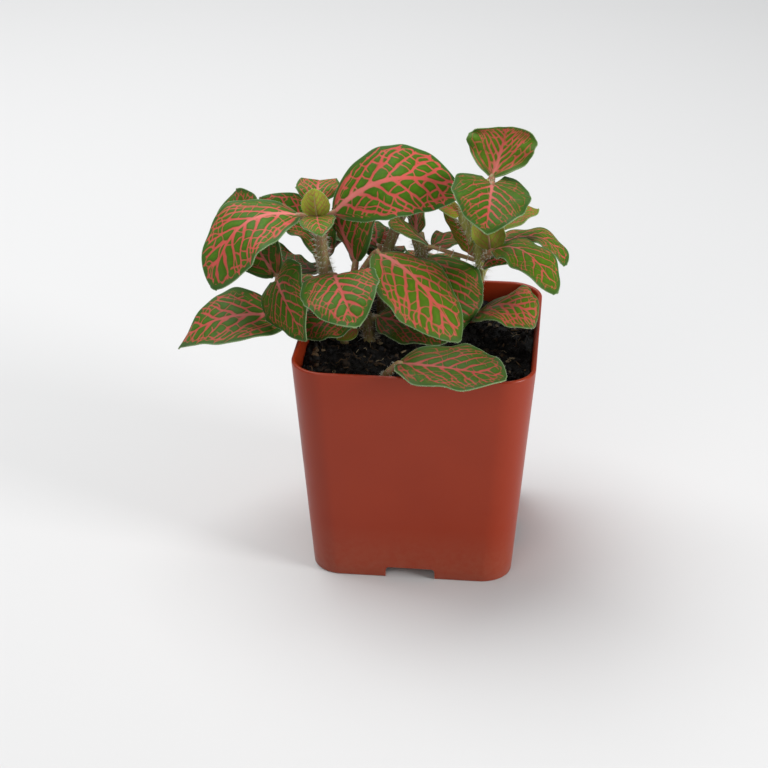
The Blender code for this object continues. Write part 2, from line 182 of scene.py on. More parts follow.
Panel = namedtuple("Panel", "name place watts size tint")
PANELS = [
    Panel("top_panel", (-0.25, 0.22, 0.75), 8.0, 0.75, "#FFFFFF"),
    Panel("side_panel", (0.62, -0.25, 0.22), 3.6, 0.22, "#FFFFFF"),
    Panel("front_panel", (-0.25, -0.70, 0.40), 1.5, 0.50, "#FFFDF8"),
]
AIM = POT_CENTRE + Vector((0, 0, 0.06))
for panel in PANELS:
    lamp = bpy.data.lights.new(panel.name, "AREA")
    lamp.energy = panel.watts
    lamp.size = panel.size
    lamp.color = linear(panel.tint)[:3]
    shining = bpy.data.objects.new(panel.name, lamp)
    bpy.context.scene.collection.objects.link(shining)
    shining.location = POT_CENTRE + Vector(panel.place)
    shining.rotation_euler = (AIM - shining.location).to_track_quat("-Z", "Y").to_euler()
print("panels", [panel.name for panel in PANELS])

# %% [markdown]
# ## The pot
#
# The pot is thin polypropylene, injection moulded in one shot: walls of a millimetre,
# a taper so that it leaves the mould and stacks, round corners, and four corner feet
# between notches. A caliper would give the sizes below; the frame gives height and rim.

# %% Sizes of the pot, in millimetres
POT_HEIGHT = (pot_high.z - pot_low.z) / MM
POT_TOP_HALF = (pot_high.x - pot_low.x) / 2 / MM
POT_FOOT_HALF = 23.3
POT_TOP_RADIUS = 8.1
POT_FOOT_RADIUS = 7.2
WALL = 1.0
FLOOR_LOW = 2.8
FLOOR_TOP = 4.0
NOTCH_WIDTH = 11.5
DRAIN_RADIUS = 2.5
DRAIN_SPREAD = 11.0
FILLET = 1.4
FOOT_ROUND = 0.45
NOTCH_ROUND = 0.9
print("pot height", round(POT_HEIGHT, 2), "and half its rim", round(POT_TOP_HALF, 2), "in mm")

# %% [markdown]
# The pot is one loft: rings of a rounded square run from the middle of its floor, up
# the inside, over the rounded rim, down the outside and under the feet. Each ring has a
# height and an inset from the tapered outside, so the wall comes out even all round.

# %% Rings and section of the pot
CORNER_STEPS = 14
SIDE_STEPS = 10


def pot_ring(height, inset):
    """One ring of the pot: a rounded square that follows the taper, less an inset."""
    share = height / POT_HEIGHT
    half = POT_FOOT_HALF + (POT_TOP_HALF - POT_FOOT_HALF) * share - inset
    radius = POT_FOOT_RADIUS + (POT_TOP_RADIUS - POT_FOOT_RADIUS) * share - inset
    radius = max(radius, 0.6)
    ring = []
    for quarter in range(4):
        turn = Matrix.Rotation(quarter * math.pi / 2, 2)
        for step in range(CORNER_STEPS + 1):
            angle = step / CORNER_STEPS * math.pi / 2
            corner = Vector((math.cos(angle), math.sin(angle))) * radius
            ring.append(turn @ (corner + Vector((half - radius, half - radius))))
        start = turn @ Vector((half - radius, half))
        end = turn @ Vector((radius - half, half))
        for step in range(1, SIDE_STEPS):
            ring.append(start.lerp(end, step / SIDE_STEPS))
    return [(point.x, point.y, height) for point in ring]


def pot_profile():
    """The pot's section as height and inset, from the floor's middle to under it."""
    profile = [(FLOOR_TOP, WALL + FILLET)]
    for step in range(1, 6):
        angle = step / 5 * math.pi / 2
        profile.append((FLOOR_TOP + FILLET * (1 - math.cos(angle)),
                        WALL + FILLET * (1 - math.sin(angle))))
    for share in (0.25, 0.5, 0.75):
        profile.append((FLOOR_TOP + FILLET + share * (POT_HEIGHT - FLOOR_TOP - 3.0), WALL))
    rim = WALL / 2
    for step in range(9):
        angle = step / 8 * math.pi
        profile.append((POT_HEIGHT - rim + rim * math.sin(angle), rim + rim * math.cos(angle)))
    for share in (0.8, 0.6, 0.4, 0.2, 0.06):
        profile.append((POT_HEIGHT * share, 0.0))
    for step in range(1, 6):
        angle = step / 5 * math.pi / 2
        profile.append((FOOT_ROUND * (1 - math.sin(angle)), FOOT_ROUND * (1 - math.cos(angle))))
    profile += [(0.0, WALL), (FLOOR_LOW, WALL)]
    return profile


def to_metres(points):
    """Points in millimetres from the pot's centre, as points of the frame in metres."""
    return [POT_CENTRE + Vector(point) * MM for point in points]


# %% Loft the pot
rings = [pot_ring(height, inset) for height, inset in pot_profile()]
around = len(rings[0])
points = [point for ring in rings for point in ring]
faces = [tuple(range(around))]
for row in range(len(rings) - 1):
    for step in range(around):
        after = (step + 1) % around
        low, high = row * around, (row + 1) * around
        faces.append((low + after, low + step, high + step, high + after))
faces.append(tuple(reversed(range(len(points) - around, len(points)))))
print("rings", len(rings), "with points each", around)

# %% [markdown]
# The mould's slides leave a notch in the middle of each side, with rounded upper edges,
# and pins leave five drain holes. Bars and drills are made for them, and one Boolean
# takes all of them away, as a maker would cut a turned blank.

# %% Bars for the notches and drills for the holes
cutters = bpy.data.collections.new("pot_cutters")
bpy.context.scene.collection.children.link(cutters)


def mesh_in_metres(name, form):
    """A mesh from a form in millimetres from the pot's centre, which is then freed."""
    for corner in form.verts:
        corner.co = POT_CENTRE + corner.co * MM
    mesh = bpy.data.meshes.new(name)
    form.to_mesh(mesh)
    form.free()
    return mesh


def cutter(name, form):
    """A closed object that the Boolean takes away from the pot."""
    cutters.objects.link(bpy.data.objects.new(name, mesh_in_metres(name, form)))


for index, turn in enumerate((0, math.pi / 2)):
    form = bmesh.new()
    bmesh.ops.create_cube(form, size=1.0)
    notch = (3 * POT_TOP_HALF, NOTCH_WIDTH, 2 * FLOOR_LOW)
    bmesh.ops.scale(form, vec=notch, verts=form.verts[:])
    top = [edge for edge in form.edges
           if all(end.co.z > 0 for end in edge.verts)
           and abs(edge.verts[0].co.x - edge.verts[1].co.x) > 1]
    bmesh.ops.bevel(form, geom=top, offset=NOTCH_ROUND, segments=5, profile=0.5, affect="EDGES")
    bmesh.ops.rotate(form, matrix=Matrix.Rotation(turn, 3, "Z"), verts=form.verts[:])
    cutter(f"notch_{index}", form)
drain_places = [(0, 0)]
for side_x in (-1, 1):
    for side_y in (-1, 1):
        drain_places.append((side_x * DRAIN_SPREAD, side_y * DRAIN_SPREAD))
for index, (place_x, place_y) in enumerate(drain_places):
    form = bmesh.new()
    bmesh.ops.create_cone(form, cap_ends=True, segments=32, radius1=DRAIN_RADIUS,
                          radius2=DRAIN_RADIUS, depth=4 * FLOOR_TOP)
    bmesh.ops.translate(form, vec=(place_x, place_y, 0), verts=form.verts[:])
    cutter(f"drain_{index}", form)

# %% [markdown]
# Polypropylene scatters a little light inside its wall, so a thin rim glows and the
# colour is soft. The mould was finely sparked, which gives a satin gloss with a faint
# orange peel. Handling leaves dull smears, and watering leaves a dry dusting near the
# foot. Its index of refraction is 1.49.

# %% Satin polypropylene
PEEL_MM = 0.5
SMEAR_MM = 14.0
SPECK_MM = 1.2
DUST_TOP = 14 * MM
plastic, tree = new_material("satin_polypropylene")
place = add(tree, "NewGeometry").outputs["Position"]
smears = add(tree, "TexNoise", {"Vector": place, "Scale": 1 / (SMEAR_MM * MM), "Detail": 4.0})
body_colour = add(tree, "MixRGB", [smears, linear("#86290D"), linear("#8F2F12")])
height = add(tree, "SeparateXYZ", [place]).outputs["Z"]
low_down = add(tree, "MapRange", [height, DUST_TOP, 0.0, 0.0, 0.35])
specks = add(tree, "TexNoise", {"Vector": place, "Scale": 1 / (SPECK_MM * MM), "Detail": 6.0})
dust = add(tree, "Math", [low_down, specks], operation="MULTIPLY")
dusty = add(tree, "MixRGB", [dust, body_colour, linear("#A2745E")])
gloss = add(tree, "MapRange", [smears, 0.3, 0.7, 0.30, 0.42])
peel = add(tree, "TexNoise", {"Vector": place, "Scale": 1 / (PEEL_MM * MM), "Detail": 2.0})
bump = add(tree, "Bump", {"Height": peel, "Strength": 0.04, "Distance": 0.05 * MM})
satin = add(tree, "BsdfPrincipled", {
    "Base Color": dusty, "Roughness": gloss, "Normal": bump, "IOR": 1.49,
    "Specular IOR Level": 0.3, "Subsurface Weight": 0.12, "Subsurface Scale": 1.2 * MM,
    "Subsurface Radius": (1.0, 0.35, 0.2)})
add(tree, "OutputMaterial", [satin])
print(plastic.name, "nodes", len(tree.nodes))

# %% [markdown]
# The loft, the bars and the drills come together here. The Boolean's result is kept as
# the pot's own mesh, so that no cutter stays behind, and the pot then stands in for the
# plain one of the frame. Its edges stay sharp where faces meet at over 35 degrees.

# %% Cut the pot and let it replace the plain one
SHARP_ANGLE = 35
pot = new_object("nursery_pot", to_metres(points), faces, [plastic], SHARP_ANGLE)
cut = pot.modifiers.new("cut", "BOOLEAN")
cut.operation = "DIFFERENCE"
cut.operand_type = "COLLECTION"
cut.collection = cutters
bpy.context.view_layer.update()
evaluated = pot.evaluated_get(bpy.context.evaluated_depsgraph_get())
cut_pot = bpy.data.meshes.new_from_object(evaluated)
pot.modifiers.clear()
pot.data = cut_pot
pot.data.shade_smooth()
pot.data.set_sharp_from_angle(angle=math.radians(SHARP_ANGLE))
for thing in list(cutters.objects):
    bpy.data.objects.remove(thing)
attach(pot, "root")
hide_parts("pot")
print("pot faces", len(pot.data.polygons))

# %% [markdown]
# ## The soil
#
# Potting mix is milled peat: black when moist, made of soft crumbs of every size, with
# tan fibres, chips of bark and a few pale grains. A bumpy bed gives the ground, and
# loose crumbs, fibres and chips are strewn on it from one seeded draw, so that each
# run gives the same ground. The slow bumps are those of the solid under it.

# %% Height of the soil
SOIL_TOP = 49.5
SOIL_BUMP = 0.9
SOIL_GRAIN = 0.36
BUMPS_EACH_MM = 0.22
GRAINS_EACH_MM = 0.6
LUMP = 0.75
LUMPS_EACH_MM = 1.1
PIT = 0.35
PITS_EACH_MM = 2.3
BED_SUNK = 0.25
draw = np.random.default_rng(41)


def soil_height(place_x, place_y):
    """The soil's top at a place, with the same slow bumps as the solid under it."""
    place = Vector((place_x, place_y, 0))
    bumps = noise.noise(place * BUMPS_EACH_MM + Vector((0, 0, 3.7)))
    grains = noise.noise(place * GRAINS_EACH_MM + Vector((0, 0, 9.1)))
    return SOIL_TOP + SOIL_BUMP * bumps + SOIL_GRAIN * grains


def bed_height(place_x, place_y):
    """The bed's top: the soil's bumps with crumbly lumps and pits on them."""
    lumps = noise.noise(Vector((place_x * LUMPS_EACH_MM, place_y * LUMPS_EACH_MM, 5.5)))
    pits = noise.noise(Vector((place_x * PITS_EACH_MM, place_y * PITS_EACH_MM, 1.5)))
    ground = soil_height(place_x, place_y) - BED_SUNK
    return ground + LUMP * lumps * abs(lumps) + PIT * pits


print("soil height in the middle", round(bed_height(0, 0), 2), "mm")

# %% [markdown]
# The bed is a fine grid, bent to the pot's rounded square and raised to that height. It
# is pulled down to the pot's floor and closed there, so that it is a solid plug.

# %% The bed of soil
GAP = 0.3
SIDE_GAP = 0.1
BED_CELLS = 120


def rounded(value_x, value_y, half, radius):
    """Carry a point of the unit square to a square with round corners."""
    straight = (half - radius) / half
    over_x = (abs(value_x) - straight) / (1 - straight)
    over_y = (abs(value_y) - straight) / (1 - straight)
    if over_x > 0 and over_y > 0:
        round_x = over_x * math.sqrt(1 - over_y ** 2 / 2)
        round_y = over_y * math.sqrt(1 - over_x ** 2 / 2)
        value_x = math.copysign(straight + round_x * (1 - straight), value_x)
        value_y = math.copysign(straight + round_y * (1 - straight), value_y)
    return value_x * half, value_y * half


def soil_half(height):
    """Half the soil's width at a height: the pot's inside less a small gap."""
    share = height / POT_HEIGHT
    return POT_FOOT_HALF + (POT_TOP_HALF - POT_FOOT_HALF) * share - WALL - SIDE_GAP


SOIL_HALF = soil_half(SOIL_TOP)
SOIL_RADIUS = POT_TOP_RADIUS - WALL
form = bmesh.new()
bmesh.ops.create_grid(form, x_segments=BED_CELLS, y_segments=BED_CELLS, size=1.0)
for corner in form.verts:
    place_x, place_y = rounded(corner.co.x, corner.co.y, SOIL_HALF, SOIL_RADIUS)
    corner.co = Vector((place_x, place_y, bed_height(place_x, place_y)))
pulled = bmesh.ops.extrude_face_region(form, geom=form.faces[:])["geom"]
bottom = FLOOR_TOP + GAP
for piece in pulled:
    if isinstance(piece, bmesh.types.BMVert):
        shrink = soil_half(bottom) / SOIL_HALF
        piece.co = Vector((piece.co.x * shrink, piece.co.y * shrink, bottom))
flat = [piece for piece in pulled if isinstance(piece, bmesh.types.BMFace)]
bmesh.ops.dissolve_faces(form, faces=flat)
bmesh.ops.recalc_face_normals(form, faces=form.faces[:])
bed_mesh = mesh_in_metres("soil_bed", form)
soil_bed = bpy.data.objects.new("soil_bed", bed_mesh)
bpy.context.scene.collection.objects.link(soil_bed)

# %% [markdown]
# One material serves the bed and the crumbs: near-black peat whose wet film glints a
# little. A point attribute called tint carries each loose piece's own colour, from
# black peat over brown bark to tan fibre, because a strewn piece is one colour all over.

# %% Peat, bark and fibre
PEAT_GRAIN_MM = 0.35
PATCH_MM = 4.0
peat, tree = new_material("moist_peat")
place = add(tree, "NewGeometry").outputs["Position"]
tint = add(tree, "Attribute", attribute_name="tint").outputs["Fac"]
grain = add(tree, "TexNoise", {"Vector": place, "Scale": 1 / (PEAT_GRAIN_MM * MM), "Detail": 5.0})
patches = add(tree, "TexNoise", {"Vector": place, "Scale": 1 / (PATCH_MM * MM), "Detail": 3.0})
ramp = add(tree, "ValToRGB", [tint])
stops = [(0.0, "#070605"), (0.45, "#15100C"), (0.7, "#33261A"), (0.88, "#6A5236"), (1.0, "#B5A585")]
ramp.color_ramp.elements.remove(ramp.color_ramp.elements[1])
ramp.color_ramp.elements[0].color = linear(stops[0][1])
for share, colour in stops[1:]:
    ramp.color_ramp.elements.new(share).color = linear(colour)
darker = add(tree, "MapRange", [grain, 0.3, 0.7, 0.35, 1.3])
mottled = add(tree, "MixRGB", [1.0, ramp, darker], blend_type="MULTIPLY")
brown = add(tree, "MapRange", [patches, 0.5, 0.75, 0.0, 0.5])
earthy = add(tree, "MixRGB", [brown, mottled, linear("#17110C")])
wet = add(tree, "MapRange", [grain, 0.35, 0.65, 0.55, 0.95])
bump = add(tree, "Bump", {"Height": grain, "Strength": 0.6, "Distance": 0.25 * MM})
crumbly = {"Base Color": earthy, "Roughness": wet, "Normal": bump, "Specular IOR Level": 0.3}
add(tree, "OutputMaterial", [add(tree, "BsdfPrincipled", crumbly)])
print(peat.name, "nodes", len(tree.nodes))

# %% [markdown]
# The bed is dark all over, because most of what lies under the loose pieces is fine
# wet peat. It stands in for the plain soil of the frame.

# %% Finish the bed
BED_TINT = 0.12
bed_mesh.materials.append(peat)
bed_tint = bed_mesh.attributes.new("tint", "FLOAT", "POINT")
bed_tint.data.foreach_set("value", [BED_TINT] * len(bed_mesh.vertices))
bed_mesh.shade_smooth()
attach(soil_bed, "root")
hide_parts("soil")
print("bed faces", len(bed_mesh.polygons))

# %% [markdown]
# Loose pieces are copies of a small shape, each turned, stretched and coloured by the
# draw. They are written into one mesh with numpy, which is quick for thousands of
# copies, and each copy is a closed body. The lowest third of a crumb sits in the bed.

# %% Places, turns and copies of loose pieces


def strewn_place(inset):
    """A random place on the soil, clear of the pot's wall by the inset."""
    across, deep = draw.uniform(-1, 1, 2)
    return rounded(across, deep, SOIL_HALF - inset, SOIL_RADIUS)


def random_turn():
    """A random rotation as a numpy matrix."""
    turn = Quaternion(draw.normal(size=4)).normalized()
    return np.array(turn.to_matrix())


def write_copies(name, shapes, tints, material):
    """Join copies, each an array of points and a list of faces, into one object."""
    points, faces, colours = [], [], []
    for (corners, sides), tint_value in zip(shapes, tints):
        start = len(points)
        points.extend(corners.tolist())
        faces.extend([tuple(start + index for index in side) for side in sides])
        colours.extend([tint_value] * len(corners))
    thing = new_object(name, to_metres(points), faces, [material], 50)
    layer = thing.data.attributes.new("tint", "FLOAT", "POINT")
    layer.data.foreach_set("value", colours)
    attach(thing, "root")
    print(name, "copies", len(shapes), "faces", len(faces))


def ball(detail):
    """The points and faces of a unit ball of triangles."""
    form = bmesh.new()
    bmesh.ops.create_icosphere(form, subdivisions=detail, radius=1.0)
    corners = np.array([corner.co for corner in form.verts])
    sides = [tuple(corner.index for corner in face.verts) for face in form.faces]
    form.free()
    return corners, sides


# %% [markdown]
# Crumbs are lumpy balls of every size, most of them small, as milled peat is. Nine in
# ten are dark and the rest are brown.

# %% Crumbs
CRUMBS = 2600
CRUMB_MM = 0.22
CRUMB_SPREAD_MM = 0.75
BIG_CRUMB_MM = 0.5
LUMPINESS = 0.28
DARK_SHARE = 0.9
BALLS = [ball(1), ball(2)]
shapes, tints = [], []
for index in range(CRUMBS):
    size = CRUMB_MM + CRUMB_SPREAD_MM * draw.random() ** 3
    corners, sides = BALLS[1 if size > BIG_CRUMB_MM else 0]
    lumpy = corners * (1 + draw.uniform(-LUMPINESS, LUMPINESS, (len(corners), 1)))
    stretched = lumpy * np.array([1.0, draw.uniform(0.6, 1.0), draw.uniform(0.45, 0.9)]) * size
    place_x, place_y = strewn_place(0.7)
    centre = np.array([place_x, place_y, bed_height(place_x, place_y) + 0.25 * size])
    shapes.append((stretched @ random_turn().T + centre, sides))
    is_dark = draw.random() < DARK_SHARE
    tints.append(0.45 * draw.random() ** 1.5 if is_dark else draw.uniform(0.5, 0.85))
write_copies("soil_crumbs", shapes, tints, peat)

# %% [markdown]
# Bark is milled to flat splinters. A chip is a small box made flat, with each of its
# eight corners shifted, and tipped a little as it fell.

# %% Chips of bark
CHIPS = 90
CHIP_LIFT = 0.35
form = bmesh.new()
bmesh.ops.create_cube(form, size=2.0)
CUBE = (np.array([corner.co for corner in form.verts]),
        [tuple(corner.index for corner in face.verts) for face in form.faces])
form.free()
shapes, tints = [], []
for index in range(CHIPS):
    corners, sides = CUBE
    size = np.array([draw.uniform(0.35, 1.3), draw.uniform(0.15, 0.5), draw.uniform(0.06, 0.16)])
    chipped = corners * size * (1 + draw.uniform(-0.3, 0.3, (8, 3)))
    place_x, place_y = strewn_place(1.5)
    tilt = Matrix.Rotation(draw.normal(0, 0.5), 3, "X")
    tilt = tilt @ Matrix.Rotation(draw.uniform(0, 6.3), 3, "Z")
    centre = np.array([place_x, place_y, bed_height(place_x, place_y) + CHIP_LIFT])
    shapes.append((chipped @ np.array(tilt) + centre, sides))
    tints.append(draw.uniform(0.6, 0.97))
write_copies("bark_chips", shapes, tints, peat)

# %% [markdown]
# A tube is needed for fibres, stalks and stems alike: rings of points round a line of
# places, each ring with its own radius, closed at both ends. The rings are carried
# along the line without twisting.

# %% Tubes along a line


def unit(vectors):
    """Vectors of length one that keep their directions."""
    return vectors / np.maximum(np.linalg.norm(vectors, axis=-1, keepdims=True), 1e-9)


def smooth_line(knots, steps):
    """A smooth curve through the knots, with a number of steps between each two."""
    knots = [np.array(knot, float) for knot in knots]
    padded = [2 * knots[0] - knots[1]] + knots + [2 * knots[-1] - knots[-2]]
    line = []
    for before, start, end, after in zip(padded, padded[1:], padded[2:], padded[3:]):
        for step in range(steps):
            share = step / steps
            line.append(0.5 * (2 * start + (end - before) * share
                               + (2 * before - 5 * start + 4 * end - after) * share ** 2
                               + (3 * start - before - 3 * end + after) * share ** 3))
    line.append(knots[-1])
    return np.array(line)


def tube(line, radii, sides, groove=0.0):
    """Points and faces of a closed tube. Groove flutes it with four shallow furrows."""
    ahead = unit(np.gradient(line, axis=0))
    across = np.cross(ahead[0], (0.3, 0.9, 0.31))
    angles = np.arange(sides) * 2 * math.pi / sides
    flute = 1 - groove * (0.5 + 0.5 * np.cos(4 * angles))
    points, sideways = [], []
    for place, direction, radius in zip(line, ahead, radii):
        across = unit(across - across.dot(direction) * direction)
        up = np.cross(direction, across)
        reach = np.outer(np.cos(angles), across) + np.outer(np.sin(angles), up)
        points.append(place + reach * (flute * radius)[:, None])
        sideways.append(reach)
    rings = len(line)
    points = np.concatenate(points + [line[:1] - ahead[:1] * radii[0] * 0.5,
                                      line[-1:] + ahead[-1:] * radii[-1] * 0.6])
    faces = []
    for ring in range(rings - 1):
        for step in range(sides):
            after = (step + 1) % sides
            low, high = ring * sides, (ring + 1) * sides
            faces.append((low + step, low + after, high + after, high + step))
    first, last = rings * sides, rings * sides + 1
    for step in range(sides):
        after = (step + 1) % sides
        faces.append((first, after, step))
        faces.append((last, (rings - 1) * sides + step, (rings - 1) * sides + after))
    return points, faces, np.concatenate(sideways)


short = smooth_line([(0, 0, 0), (0, 0, 1)], 4)
print("faces of a short tube", len(tube(short, [0.1] * len(short), 4)[1]))

# %% [markdown]
# Peat keeps thin roots and fibres of the plants that it was. Each one wanders over the
# soil, clear of the pot's wall, and four sides are enough for it.

# %% Fibres on the soil
FIBRES = 110
FIBRE_REACH = SOIL_HALF - 1.5
shapes, tints = [], []
for index in range(FIBRES):
    place_x, place_y = strewn_place(1.8)
    heading = draw.uniform(0, 2 * math.pi)
    bend = draw.normal(0, 0.35)
    stride = draw.uniform(0.35, 0.95)
    knots = []
    for step in range(5):
        lift = 0.25 + 0.35 * abs(draw.normal())
        knots.append((place_x, place_y, bed_height(place_x, place_y) + lift))
        place_x += stride * math.cos(heading)
        place_y += stride * math.sin(heading)
        heading += bend
        reach = max(abs(place_x), abs(place_y))
        if reach > FIBRE_REACH:
            place_x *= FIBRE_REACH / reach
            place_y *= FIBRE_REACH / reach
    line = smooth_line(knots, 2)
    thick = draw.uniform(0.05, 0.11)
    corners, sides, _ = tube(line, np.full(len(line), thick), 4)
    shapes.append((corners, sides))
    tints.append(draw.uniform(0.66, 1.0))
write_copies("peat_fibres", shapes, tints, peat)

# %% [markdown]
# ## The leaves
#
# A blade is set out by three points of its midrib, the way its upper face looks, and
# its width, in millimetres from the pot's centre. The rest of the row shapes it: fold
# lifts both halves, cup lowers the margins, lobe carries the base back past the stalk,
# shoulder and point shape the outline, and wave ruffles the edge. The tone of age and
# shade runs from old and dark, -1, to young and yellow, 1, and it is set lower on leaves
# that lie in shade, so that it also paints their shade into the colour. Thin takes that
# many millimetres off the veins, or adds them below nought, and rib scales the midrib's
# width. Node is where the leaf's stalk starts on the stem.

# %% The table of shoots
Leaf = namedtuple(
    "Leaf",
    "node base bow tip looks width fold cup lobe shoulder point wave tone thin rib",
    defaults=(10, 0.12, 0.0, 0.55, 0.75, 0.5, 0.0, 0.0, 1.0),
)

